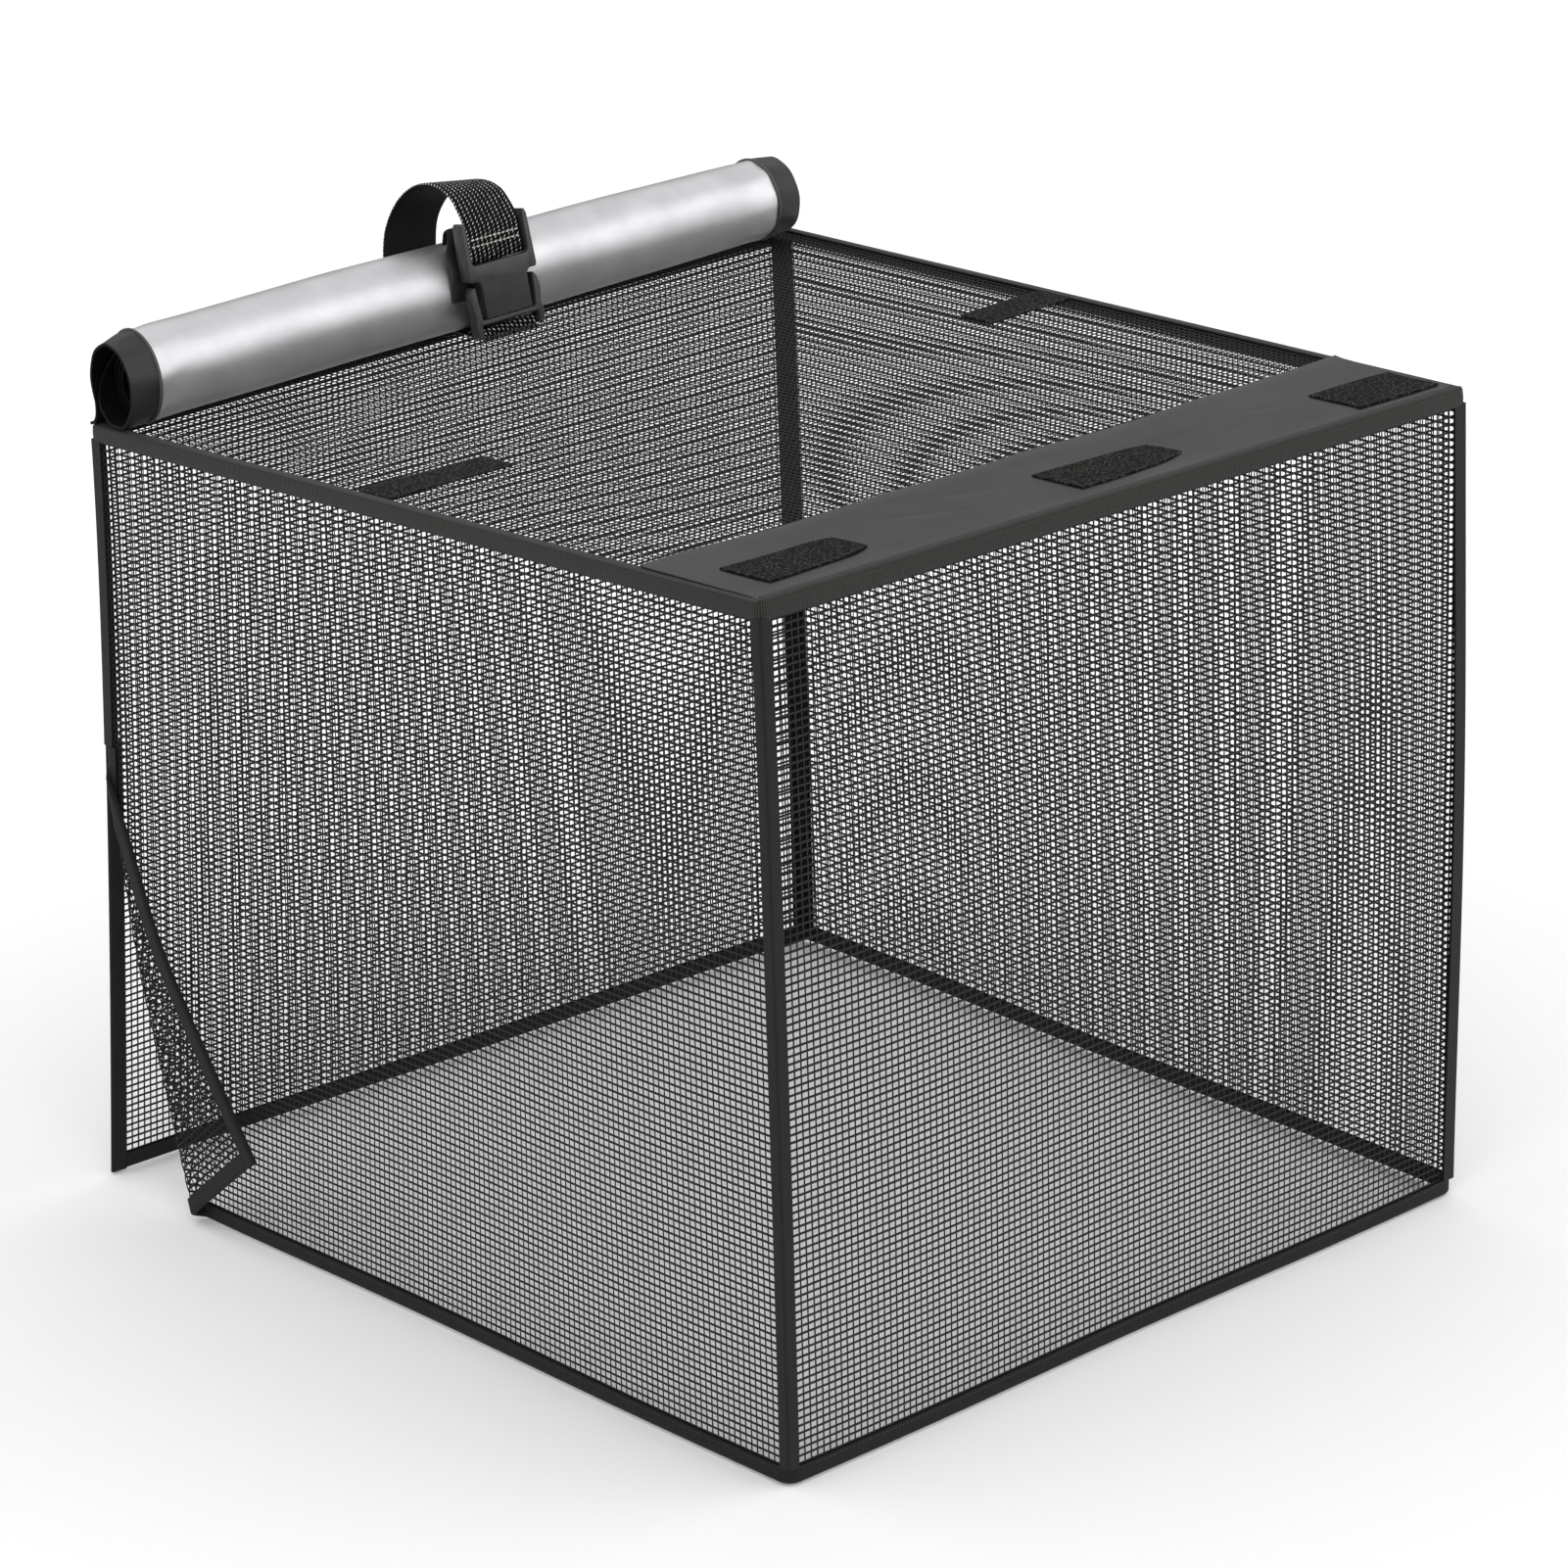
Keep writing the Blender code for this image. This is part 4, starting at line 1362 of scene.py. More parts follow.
    def slit_tape(self, name: str, wall: Wall, from_end: bool, finishes: Finishes) -> bpy.types.Object:
        """Builds the tape folded over one edge of the slit.

        Args:
            name: the solid it stands for.
            wall: the wall it edges.
            from_end: whether the slit is at the wall's last corner.
            finishes: the materials.

        Returns:
            The tape's object.
        """
        quarter = TAPE_STAND * math.pi / 2

        def place(up: float, width: float, stand: float) -> Vector:
            """Puts a point of the tape."""
            inward, out = folded_across(width, stand)
            along = wall.length - REAR_SLIT_EDGE - inward if from_end else SLIT_EDGE + inward
            return wall.place(along, up, out)

        lowest = -TAPE_STAND - TAPE_THICKNESS / 2
        flat = flat_grid(breaks(lowest, SLIT_HEIGHT, 30), folded_widths(3))
        if not from_end:
            for side in (1, -1):
                cut_along_bend(flat, lambda up, width, s=side: past_bend(SLIT_EDGE + s * width - quarter, up),
                               lambda middle, s=side: s * middle.y > quarter)
            cut_along_bend(flat, lambda up, width: past_bend(SLIT_EDGE, up),
                           lambda middle: abs(middle.y) < quarter)
        shape = sheet_mesh(flat, place, TAPE_THICKNESS)
        piece = finish_piece(name + "_cloth", shape, Slot.BINDING, [finishes.hem_tape], [name])
        return piece

    def stitches(self, finishes: Finishes) -> bpy.types.Object:
        """Sews the tapes: black stitches along the rim tape's lower edge and the hem tape's upper one.

        Args:
            finishes: the materials.

        Returns:
            The stitches' object.
        """
        shape = bmesh.new()
        row = StitchRow()
        stations = self.rim_stations()
        outside = TAPE_STAND + TAPE_THICKNESS / 2
        lower = self.seam_inset - TAPE_LEG
        row.add(shape, [s.at(outside, lower) for s in stations], [s.out for s in stations])
        for name, wall in self.walls.items():
            start = self.turned_seam_end if name == "front_left" else self.seam_end
            alongs = breaks(start, wall.length - self.seam_end, 40)
            line = [wall.place(a, -lower, outside) for a in alongs]
            outs = [(wall.place(a, -lower, outside) - wall.place(a, -lower, 0.0)).normalized()
                    for a in alongs]
            row.add(shape, line, outs)
        return finish_piece("tape_stitches", shape, Slot.BINDING, [finishes.black_thread])

    def build(self, finishes: Finishes) -> None:
        """Builds all tapes.

        Args:
            finishes: the materials.
        """
        walls = self.walls
        self.rim_tape(finishes)
        self.hem_tape(finishes)
        above_hem = TAPE_LEG * 0.9
        left, right, far, rear = (walls[n] for n in ("front_left", "front_right", "back_right", "back_left"))
        self.corner_tape("corner_seam_front", left, right, SEAM_LEG, above_hem, 0.0, finishes)
        self.corner_tape("corner_tape_right", right, far, TAPE_LEG, above_hem, 0.0015, finishes)
        self.corner_tape("corner_tape_back", far, rear, TAPE_LEG, above_hem, 0.001, finishes)
        self.corner_tape("corner_tape_left", rear, left, TAPE_LEG, SLIT_HEIGHT + CLEARANCE, 0.0, finishes)
        self.slit_tape("slit_binding_turned", left, False, finishes)
        self.slit_tape("slit_binding_rear", rear, True, finishes)
        self.stitches(finishes)


@dataclass
class TopFittings:
    """The coated strip along the front right rim, and the patches of hook and loop tape."""

    strip_width: float = 0.122
    strip_thickness: float = 0.0012
    strip_wrinkle: float = 0.0011
    strip_crease: float = 0.0009
    creases: tuple[Row, ...] = (
        # middle along the strip, place across it, slant, reach
        (-0.130, 0.315, 0.45, 0.035),
        (-0.075, 0.300, 0.50, 0.030),
        (0.110, 0.318, -0.30, 0.030),
        (0.150, 0.330, -0.45, 0.026),
        (0.190, 0.312, 0.35, 0.022),
    )
    patch_thickness: float = 0.0015
    patch_width: float = 0.050
    side_patch_width: float = 0.036
    strip_patches: tuple[tuple[str, float, float, float, float], ...] = (
        # name, middle across the strip, start along it, end along it, roundness of the far end
        ("strip_patch_left", 0.330, -0.290, -0.202, 0.35),
        ("strip_patch_middle", 0.331, -0.022, 0.077, 0.35),
        ("strip_patch_right", 0.340, 0.232, 0.311, 0.0),
    )
    side_patches: tuple[tuple[str, float, float, float], ...] = (
        # name, middle along the rim, start, end
        ("side_patch_left", -0.039, -0.3120, -0.2080),
        ("side_patch_right", -0.040, 0.2350, 0.3125),
    )

    crease_width: float = 0.0022
    # The strip's inner edge is turned under, which lifts it a little.
    turn_under: float = 0.0010
    # Rows of points by a patch's edge, how wide its bare edge is, and how far its hooks stand over that.
    edge_rows: tuple[float, ...] = (0.0, 0.0012, 0.0022)
    bare_edge: float = 0.0022
    hook_height: float = 0.0005
    seam_inset: float = 0.0016

    def wrinkle(self, x: float, y: float) -> float:
        """Height of the strip's soft wrinkles.

        Args:
            x: plan position along the long side.
            y: plan position along the short side.

        Returns:
            The height.
        """
        slant = math.sin(31 * y + 40 * (x - LENGTH / 2)) * math.sin(11 * y + 0.6)
        crease = sum(self.strip_crease * math.exp(-((x - at - lean * (y - middle)) / self.crease_width) ** 2
                                                  - ((y - middle) / reach) ** 2)
                     for middle, at, lean, reach in self.creases)
        return self.strip_wrinkle * (1 + slant) + crease

    def strip(self, finishes: Finishes) -> bpy.types.Object:
        """Builds the strip.

        Args:
            finishes: the materials.

        Returns:
            The strip's object.
        """
        base = NET_THICKNESS / 2 + CLEARANCE + self.strip_thickness / 2
        side = WIDTH / 2 - RIM_TOP_LEG * 0.6
        outer = LENGTH / 2 - 0.001

        def place(y: float, x: float, stand: float) -> Vector:
            """Puts a point of the strip, turned under a little at its inner edge.

            Args:
                y: place along the strip.
                x: place across it.
                stand: distance from the middle of its thickness.

            Returns:
                The place.
            """
            fold = self.turn_under * math.exp(-((x - (LENGTH / 2 - self.strip_width)) / 0.004) ** 2)
            return top_place(x, y, base + stand + self.wrinkle(x, y) * smooth_step((outer - x) / 0.02) + fold)

        flat = flat_grid(breaks(-side, side, 120), breaks(LENGTH / 2 - self.strip_width, outer, 30))
        piece = finish_piece("coated_strip", sheet_mesh(flat, place, self.strip_thickness), Slot.COATED,
                             [finishes.strip], ["front_strip"])
        return piece

    def patch(self, name: str, middle: float, width: float, start: float, end: float, roundness: float,
              base: float, lift: Callable[[float, float], float], finishes: Finishes) -> bpy.types.Object:
        """Builds one patch with its sewn edge.

        Args:
            name: the solid it stands for.
            middle: middle across the strip.
            width: the tape's width.
            start: start along the strip.
            end: end along the strip.
            roundness: share of the length that is rounded off at the far end.
            base: height of the patch's middle over the net's.
            lift: further height at a plan position.
            finishes: the materials.

        Returns:
            The patch's object.
        """
        half = width / 2

        def place(along: float, across: float, stand: float) -> Vector:
            """Puts a point of the patch. Its hooks stand over a lower bare edge.

            Args:
                along: place along the strip.
                across: place across the patch, from its middle.
                stand: distance from the middle of its thickness.

            Returns:
                The place.
            """
            part = across / half
            past = max(0.0, (along - start) / (end - start) - (1 - roundness)) / max(roundness, 1e-6)
            x = middle + part * half * math.sqrt(max(0.0, 1 - 0.55 * past * past))
            edge = min(half - abs(across), along - start, end - along)
            low = self.hook_height * (1 - smooth_step(edge / self.bare_edge)) if stand > 0 else 0.0
            return top_place(x, along, base + stand + lift(x, along) - low)

        alongs = self.edged_breaks(start, end, 22)
        shape = sheet_mesh(flat_grid(alongs, self.edged_breaks(-half, half, 12)), place, self.patch_thickness)
        piece = finish_piece(name + "_tape", shape, Slot.HOOKS, [finishes.hooks], [name])
        stitches = bmesh.new()
        first, last, side = start + self.seam_inset, end - self.seam_inset, half - self.seam_inset
        ring = [(first, -side), (last, -side), (last, side), (first, side), (first, -side)]
        line = []
        for (a, b), (c, d) in zip(ring, ring[1:]):
            line += [place(a + (c - a) * s, b + (d - b) * s, self.patch_thickness / 2)
                     for s in breaks(0.0, 1.0, 16)[:-1]]
        line.append(line[0])
        row = StitchRow(pitch=0.0030, length=0.0022, thread=0.0005)
        row.add(stitches, line, [Vector((0, 0, 1))] * len(line))
        finish_piece(name + "_stitches", stitches, Slot.HOOKS, [finishes.black_thread])
        return piece

    def edged_breaks(self, first: float, last: float, steps: int) -> list[float]:
        """Breaks across a patch, closer together by its two edges.

        Args:
            first: one edge.
            last: the other edge.
            steps: steps between the close rows.

        Returns:
            The places.
        """
        inner = 0.004
        near = [first + e for e in self.edge_rows]
        far = [last - e for e in reversed(self.edge_rows)]
        return near + breaks(first + inner, last - inner, steps) + far

    def build(self, finishes: Finishes) -> None:
        """Builds the strip and all patches.

        Args:
            finishes: the materials.
        """
        self.strip(finishes)
        on_net = NET_THICKNESS / 2 + CLEARANCE
        on_strip = on_net + self.strip_thickness + CLEARANCE + self.patch_thickness / 2
        beside = on_net + self.patch_thickness / 2
        for name, middle, start, end, roundness in self.strip_patches:
            self.patch(name, middle, self.patch_width, start, end, roundness,
                       on_strip, self.wrinkle, finishes)
        for name, middle, start, end in self.side_patches:
            self.patch(name, middle, self.side_patch_width, start, end, 0.0,
                       beside, lambda x, y: 0.0, finishes)


@dataclass
class RolledFlap:
    """The weather flap: silver cloth wound up along the left end of the top, with its two edges bound."""

    rear: Wall
    lift: float = 0.0036
    flat_share: float = 0.97
    band: float = 0.0232
    turns: float = 4.4
    pitch: float = 0.0040
    thickness: float = 0.0014
    neck_from: float = math.radians(207)
    neck_turn: float = 0.08
    neck_length: float = 0.02
    hollow: float = 0.016
    mean_radius: float = 0.033
    steps: int = 48
    # Gathers by the bound edges, how far they reach, and the soft dents along the roll.
    gather: float = 0.0010
    gather_reach: float = 0.015
    dent: float = 0.0004
    # How far a bound edge stands proud of the silver cloth, and the gap between the two.
    proud: float = 0.0004
    band_gap: float = 0.0014
    piping_radius: float = 0.0013
    ends: tuple[float, float] = (-0.3215, 0.3165)
    rows: tuple[Row, ...] = (
        # y, middle x, half width, half height
        (-0.3215, -0.3470, 0.0270, 0.0322),
        (-0.2980, -0.3480, 0.0318, 0.0345),
        (-0.2450, -0.3490, 0.0336, 0.0346),
        (-0.1300, -0.3500, 0.0342, 0.0348),
        (-0.0500, -0.3500, 0.0334, 0.0342),
        (0.0050, -0.3500, 0.0332, 0.0340),
        (0.0600, -0.3500, 0.0338, 0.0346),
        (0.1700, -0.3515, 0.0336, 0.0338),
        (0.2930, -0.3530, 0.0318, 0.0318),
        (0.3165, -0.3535, 0.0304, 0.0306),
    )

    def section(self, y: float) -> tuple[float, float, float]:
        """The roll's section at a place, smoothly between the table's rows.

        Args:
            y: place along the roll.

        Returns:
            Middle x, half width and half height.
        """
        rows = self.rows
        i = max(0, min(len(rows) - 2, sum(1 for r in rows if r[0] <= y) - 1))
        low, high = rows[i], rows[i + 1]
        before, after = rows[max(0, i - 1)], rows[min(len(rows) - 1, i + 2)]
        t = (y - low[0]) / (high[0] - low[0])
        span = high[0] - low[0]
        made = []
        for k in (1, 2, 3):
            m0 = (high[k] - before[k]) / (high[0] - before[0]) * span
            m1 = (after[k] - low[k]) / (after[0] - low[0]) * span
            made.append((2 * t ** 3 - 3 * t ** 2 + 1) * low[k] + (t ** 3 - 2 * t ** 2 + t) * m0
                        + (3 * t ** 2 - 2 * t ** 3) * high[k] + (t ** 3 - t ** 2) * m1)
        return made[0], made[1], made[2]

    def pucker(self, y: float, angle: float) -> float:
        """Small gathers beside the bound edges and soft dents along the roll.

        Args:
            y: place along the roll.
            angle: place round it.

        Returns:
            Distance outwards.
        """
        near = min(abs(y - self.ends[0] - self.band), abs(self.ends[1] - self.band - y))
        gather = self.gather * math.exp(-near / self.gather_reach) * smooth_step(near / 0.004)
        soft = self.dent * math.sin(y * 23 + angle * 2.0) * math.sin(y * 9.0 + angle)
        return gather * math.sin(angle * 9 + math.sin(y * 120)) + soft

    def wound(self, y: float, turn: float, stand: float) -> Vector:
        """A point of the wound cloth.

        Args:
            y: place along the roll.
            turn: how many turns in from the neck, less than 0 on the neck.
            stand: distance outwards from the cloth's middle.

        Returns:
            The place.
        """
        middle, half_width, half_height = self.section(y)
        centre = top_place(middle, y, self.lift).z + half_height * self.flat_share
        angle = self.neck_from - 2 * math.pi * max(turn, 0.0)
        inwards = self.pitch * smooth_step((turn - 0.70) / 0.3) if turn < 1 else self.pitch * turn
        radius_in = self.thickness / 2 + inwards - stand - self.pucker(y, angle) * (1 if turn < 1 else 0)
        height = max(math.sin(angle), -self.flat_share)
        at_y = self.tucked(y, turn)
        point = Vector((middle + (half_width - radius_in) * math.cos(angle), at_y,
                        centre + (half_height - radius_in) * height))
        if turn >= 0:
            return point
        rear = self.rear
        across = (rear.rim_first.y - y) / (rear.rim_first.y - rear.rim_last.y)
        rim = rear.rim_first.lerp(rear.rim_last, across)
        rest = rim.z + TAPE_STAND + TAPE_THICKNESS / 2 + CLEARANCE + self.thickness / 2
        top = self.wound(y, 0.0, 0.0)
        foot = Vector((rim.x - 0.0005, y, rest))
        knee = Vector((top.x + 0.0012, y, rest + 0.0008))
        share = -turn / self.neck_turn
        here = top * (1 - share) ** 2 + knee * (2 * share * (1 - share)) + foot * share ** 2
        way = ((knee - top) * (1 - share) + (foot - knee) * share).normalized()
        return here + Vector((way.z, 0.0, -way.x)) * stand

    def tucked(self, y: float, turn: float) -> float:
        """Place along the roll of a place on the flat cloth: the inner turns end deeper than the outer one.

        Args:
            y: place along the roll.
            turn: how many turns in from the neck.

        Returns:
            The place along the roll.
        """
        from_first, from_last = y - self.ends[0], self.ends[1] - y
        inner = self.hollow * smooth_step((turn - 0.95) / 0.3)
        near = max(0.0, 1 - min(from_first, from_last) / 0.100)
        return y + math.copysign(inner * near, from_last - from_first)

    def build_sheet(self, name: str, ys: Sequence[float], extra: float, node: str,
                    materials: Sequence[Material], slot: Slot) -> bpy.types.Object:
        """Builds a length of the wound cloth.

        Args:
            name: the piece's name.
            ys: places along the roll.
            extra: how far its outside stands proud of the silver cloth.
            node: the solid that it stands for.
            materials: its outer and inner materials. The inner one also goes on its cut edges, as painted
                shade at the roll's open ends.
            slot: the record's slot.

        Returns:
            The piece.
        """
        neck = breaks(-self.neck_turn, 0.0, 10)[:-1]
        turns = neck + breaks(0.0, self.turns, round(self.turns * self.steps))
        metre = 2 * math.pi * self.mean_radius
        thick = self.thickness + 2 * extra

        def place(y: float, wound: float, stand: float) -> Vector:
            """Puts a point of the cloth by its place along the roll, length wound and distance outwards."""
            return self.wound(y, wound / metre, stand)

        flat = flat_grid(ys, [t * metre for t in turns])
        # The cut edges take the near-black back: painted shade at the roll's open ends.
        shape = sheet_mesh(flat, place, thick, 1)
        piece = finish_piece(name, shape, slot, materials, [node], 60)
        return piece

    def piping(self, name: str, y: float, finishes: Finishes) -> bpy.types.Object:
        """Builds the raised piping beside a bound edge: a cord in its cloth, round the outermost turn.

        Args:
            name: the piece's name.
            y: place along the roll.
            finishes: the materials.

        Returns:
            The piping's object.
        """
        shape = bmesh.new()
        uv = shape.loops.layers.uv.new("cloth")
        turns = breaks(-0.03, 0.93, 84)
        thick = self.piping_radius
        sides = 10
        along = Vector((0, 1, 0))
        rings = []
        for turn in turns:
            here = self.wound(y, turn, 0.0)
            out = (self.wound(y, turn, 0.001) - here).normalized()
            seat = here + out * (self.thickness / 2 + thick * 0.35)
            rings.append([shape.verts.new(seat + (out * math.sin(a) + along * math.cos(a)) * thick)
                          for a in breaks(0.0, 2 * math.pi, sides)[:-1]])
        for k, (low, high) in enumerate(zip(rings, rings[1:])):
            for i in range(sides):
                j = (i + 1) % sides
                face = shape.faces.new((low[i], low[j], high[j], high[i]))
                for loop, pair in zip(face.loops, ((k, i), (k, i + 1), (k + 1, i + 1), (k + 1, i))):
                    loop[uv].uv = (pair[0] * 0.0025, pair[1] * 0.001)
        shape.faces.new(rings[0])
        shape.faces.new(rings[-1])
        bmesh.ops.recalc_face_normals(shape, faces=shape.faces[:])
        return finish_piece(name, shape, Slot.BINDING, [finishes.piping])

    def build(self, finishes: Finishes) -> None:
        """Builds the roll.

        Args:
            finishes: the materials.
        """
        first, last = self.ends
        under, seam = 0.001, 0.0003
        silver = [finishes.silver, finishes.dark_back_and_shade]
        ys = breaks(first + self.band - under, last - self.band + under, 110)
        self.build_sheet("silver_flap", ys, 0.0, "cover_roll", silver, Slot.SILVER)
        band = [finishes.band, finishes.dark_back_and_shade]
        bound = self.band - self.band_gap
        for name, ys in (("left", breaks(first, first + bound, 6)), ("right", breaks(last - bound, last, 6))):
            self.build_sheet("flap_edge_" + name, ys, self.proud, "roll_binding_" + name, band, Slot.BINDING)
        self.piping("flap_piping_left", first + self.band - seam, finishes)
        self.piping("flap_piping_right", last - self.band + seam, finishes)


@dataclass
class StrapAndBuckle:
    """The webbing strap over the roll and its side-release buckle."""

    width: float = 0.050
    thickness: float = 0.0016
    rise: float = math.radians(2.1)
    foot: Vector = field(default_factory=lambda: Vector((-0.3000, 0.0050, 0.0010)))
    lean: float = math.radians(7.8)
    bar_radius: float = 0.0017
    female_bar: float = 0.0640
    male_bar: float = 0.0062
    tilt: float = math.radians(-8.5)
    tilt_span: tuple[float, float] = (0.085, 0.215)
    edge_round: float = 0.0006
    # The turn hangs a little below the bar that it goes round.
    loop_slack: float = 0.0018
    # Heights over the bar of the webbing's end, behind the face, and of the two seams that hold it.
    sewn_back: tuple[float, ...] = (0.007, 0.014, 0.020)
    seam_heights: tuple[float, ...] = (0.0078, 0.0130)
    # Where the length under the roll lies on the net, and how it leaves its bar: steps back and down.
    under_span: tuple[float, float] = (-0.368, -0.312)
    under_back: tuple[tuple[float, float], ...] = ((0.005, 0.001), (0.011, 0.0018), (0.018, 0.002))
    arc: tuple[Row, ...] = (
        # x, z, middle of the webbing (y)
        (-0.3792, -0.0150, -0.024),
        (-0.3793, -0.0080, -0.024),
        (-0.3811, -0.0020, -0.024),
        (-0.3830, 0.0070, -0.023),
        (-0.3852, 0.0200, -0.022),
        (-0.3864, 0.0360, -0.021),
        (-0.3895, 0.0550, -0.019),
        (-0.3910, 0.0770, -0.014),
        (-0.3830, 0.0960, -0.008),
        (-0.3665, 0.1090, -0.003),
        (-0.3460, 0.1130, 0.000),
        (-0.3275, 0.1080, 0.001),
        (-0.3165, 0.0970, 0.0015),
        (-0.3090, 0.0850, 0.0020),
    )
    tail: tuple[Row, ...] = (
        (-0.3400, 0.0702, 0.002),
        (-0.3392, 0.0740, 0.002),
        (-0.3362, 0.0800, 0.001),
        (-0.3312, 0.0832, 0.000),
        (-0.3272, 0.0805, -0.002),
        (-0.3245, 0.0735, -0.005),
        (-0.3225, 0.0655, -0.008),
        (-0.3162, 0.0515, -0.009),
        (-0.3154, 0.0400, -0.010),
        (-0.3155, 0.0310, -0.010),
    )

    @property
    def side(self) -> Vector:
        """The way across the strap, along the roll."""
        return Vector((0.0, math.cos(self.rise), math.sin(self.rise)))

    @property
    def loop_radius(self) -> float:
        """Radius of the webbing's middle round a bar."""
        return self.bar_radius + CLEARANCE + self.thickness / 2

    def at(self, width: float, height: float, depth: float) -> Vector:
        """A point of the buckle.

        Args:
            width: distance across it.
            height: distance up from its foot.
            depth: distance out towards its face.

        Returns:
            The place.
        """
        out = Vector((math.cos(self.lean), 0, math.sin(self.lean)))
        return self.foot + self.side * width + out.cross(self.side) * height + out * depth

    def turn(self, angle: float) -> Vector:
        """A direction in the buckle's side view, 0 out of its face and a quarter turn up it."""
        return self.at(0, math.sin(angle), math.cos(angle)) - self.at(0, 0, 0)

    def smooth_path(self, rows: Sequence[Row], steps: int) -> list[Vector]:
        """A smooth line through a table's points.

        Args:
            rows: the table.
            steps: steps between two rows.

        Returns:
            Points of the line.
        """
        points = [Vector((x, y, z)) for x, z, y in rows]
        padded = [points[0] * 2 - points[1]] + points + [points[-1] * 2 - points[-2]]
        line = []
        for a, b, c, d in zip(padded, padded[1:], padded[2:], padded[3:]):
            for i in range(steps):
                t = i / steps
                line.append(((b * 2) + (c - a) * t + (a * 2 - b * 5 + c * 4 - d) * t * t
                             + (b * 3 - a - c * 3 + d) * t ** 3) / 2)
        return line + [points[-1]]

    def webbing(self, name: str, line: Sequence[Vector], rests: str, finishes: Finishes,
                faces: Sequence[Material] = (), tilt: float = 0.0) -> bpy.types.Object:
        """Builds a length of webbing along a line.

        Args:
            name: the solid it stands for.
            line: the webbing's middle.
            rests: the piece it lies on or hangs from; not used.
            finishes: the materials.
            faces: materials of its two sides, where they aren't ribs outside and a flat back inside.
            tilt: how far the middle of its free span leans to one side.

        Returns:
            The webbing's object.
        """
        ends = [line[0] * 2 - line[1]] + list(line) + [line[-1] * 2 - line[-2]]
        run = [0.0]
        for low, high in zip(line, line[1:]):
            run.append(run[-1] + (high - low).length)
        number = {r: i for i, r in enumerate(run)}
        half = self.width / 2

        def place(along: float, across: float, stand: float) -> Vector:
            """Puts a point of the webbing, its two woven edges a little thinner.

            Args:
                along: distance along the line.
                across: place across the webbing, from its middle.
                stand: distance from the middle of its thickness.

            Returns:
                The place.
            """
            i = number[min(number, key=lambda r: abs(r - along))]
            way = (ends[i + 2] - ends[i]).normalized()
            low, high = self.tilt_span
            free = math.sin(math.pi * min(max((along - low) / (high - low), 0.0), 1.0)) ** 2
            normal = way.cross(self.side).normalized()
            side = (self.side * math.cos(tilt * free) + normal * math.sin(tilt * free)).normalized()
            normal = way.cross(side).normalized()
            thin = 1 - 0.45 * smooth_step((abs(across) - half + 0.002) / 0.002)
            return line[i] + side * across + normal * stand * thin

        acrosses = [-half, -half + 0.0008, -half + 0.002] + breaks(-half + 0.006, half - 0.006, 6) + [
            half - 0.002, half - 0.0008, half]
        shape = sheet_mesh(flat_grid(run, acrosses), place, self.thickness)
        sides = list(faces) or [finishes.webbing, finishes.webbing_back]
        piece = finish_piece(name + "_webbing", shape, Slot.WEBBING, sides, [name], 60)
        return piece

    def build_arc(self, finishes: Finishes) -> None:
        """Builds the loop over the roll, down to its sewn turn round the female half's bar.

        Args:
            finishes: the materials.
        """
        centre = self.at(0, self.female_bar, 0)
        down = [self.at(0, self.female_bar + 0.007, self.loop_radius)]
        slack = self.turn(math.pi / 2) * self.loop_slack
        turn = [centre + self.turn(a) * self.loop_radius + slack * math.sin(a)
                for a in breaks(0.0, -math.pi, 16)]
        back = [self.at(0, self.female_bar + h, -self.loop_radius) for h in self.sewn_back]
        path = self.smooth_path(self.arc, 8) + down + turn + back
        self.webbing("strap_arc", path, "rim_tape", finishes, tilt=self.tilt)
        shape = bmesh.new()
        row = StitchRow(pitch=0.0041, length=0.0032, thread=0.0014)
        out = self.turn(0.0)
        side = self.width / 2 - 0.002
        for height in self.seam_heights:
            face = self.loop_radius + self.thickness / 2
            line = [self.at(w, self.female_bar + height, face) for w in breaks(-side, side, 12)]
            row.add(shape, line, [out] * len(line))
        finish_piece("strap_stitches", shape, Slot.WEBBING, [finishes.pale_thread])

    def build_under(self, finishes: Finishes) -> None:
        """Builds the length that runs under the roll to the male half's bar.

        Args:
            finishes: the materials.
        """
        middle = self.foot.y
        on_net = NET_THICKNESS / 2 + CLEARANCE * 1.3 + self.thickness / 2
        centre = self.at(0, self.male_bar, 0)
        line = [top_place(x, middle, on_net) for x in breaks(*self.under_span, 6)]
        turn = [centre + self.turn(a) * self.loop_radius for a in breaks(-math.radians(100), math.pi, 16)]
        back = [Vector((centre.x - dx, middle, centre.z - dz)) for dx, dz in self.under_back]
        self.webbing("strap_under", line + turn + back, "net_top_panel", finishes, [finishes.webbing] * 2)

    def moulded_half(self, name: str, finishes: Finishes) -> bpy.types.Object:
        """Models a half of the buckle: a merged copy of its solid with every corner rounded.

        Args:
            name: the solid that it is a finer form of.
            finishes: the materials.

        Returns:
            The half's object.
        """
        solid = bpy.data.objects[name]
        mesh = solid.data.copy()
        mesh.transform(solid.matrix_world)
        mesh.materials.clear()
        mesh.materials.append(finishes.plastic)
        piece = bpy.data.objects.new(name + "_moulding", mesh)
        bpy.context.scene.collection.objects.link(piece)
        bpy.ops.object.select_all(action="DESELECT")
        piece.select_set(True)
        bpy.context.view_layer.objects.active = piece
        bpy.ops.object.mode_set(mode="EDIT")
        bpy.ops.mesh.select_all(action="SELECT")
        bpy.ops.mesh.remove_doubles(threshold=0.00002)
        bpy.ops.mesh.dissolve_limited(angle_limit=math.radians(2))
        bpy.ops.object.mode_set(mode="OBJECT")
        soft = piece.modifiers.new("soft_edges", "BEVEL")
        soft.width = self.edge_round
        soft.segments = 2
        soft.limit_method = "ANGLE"
        soft.angle_limit = math.radians(35)
        bpy.ops.object.modifier_apply(modifier=soft.name)
        bpy.ops.object.shade_smooth_by_angle(angle=math.radians(30))
        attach(piece, "root")
        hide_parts(name)
        LOG.info("%s: %d faces", piece.name, len(piece.data.polygons))
        return piece

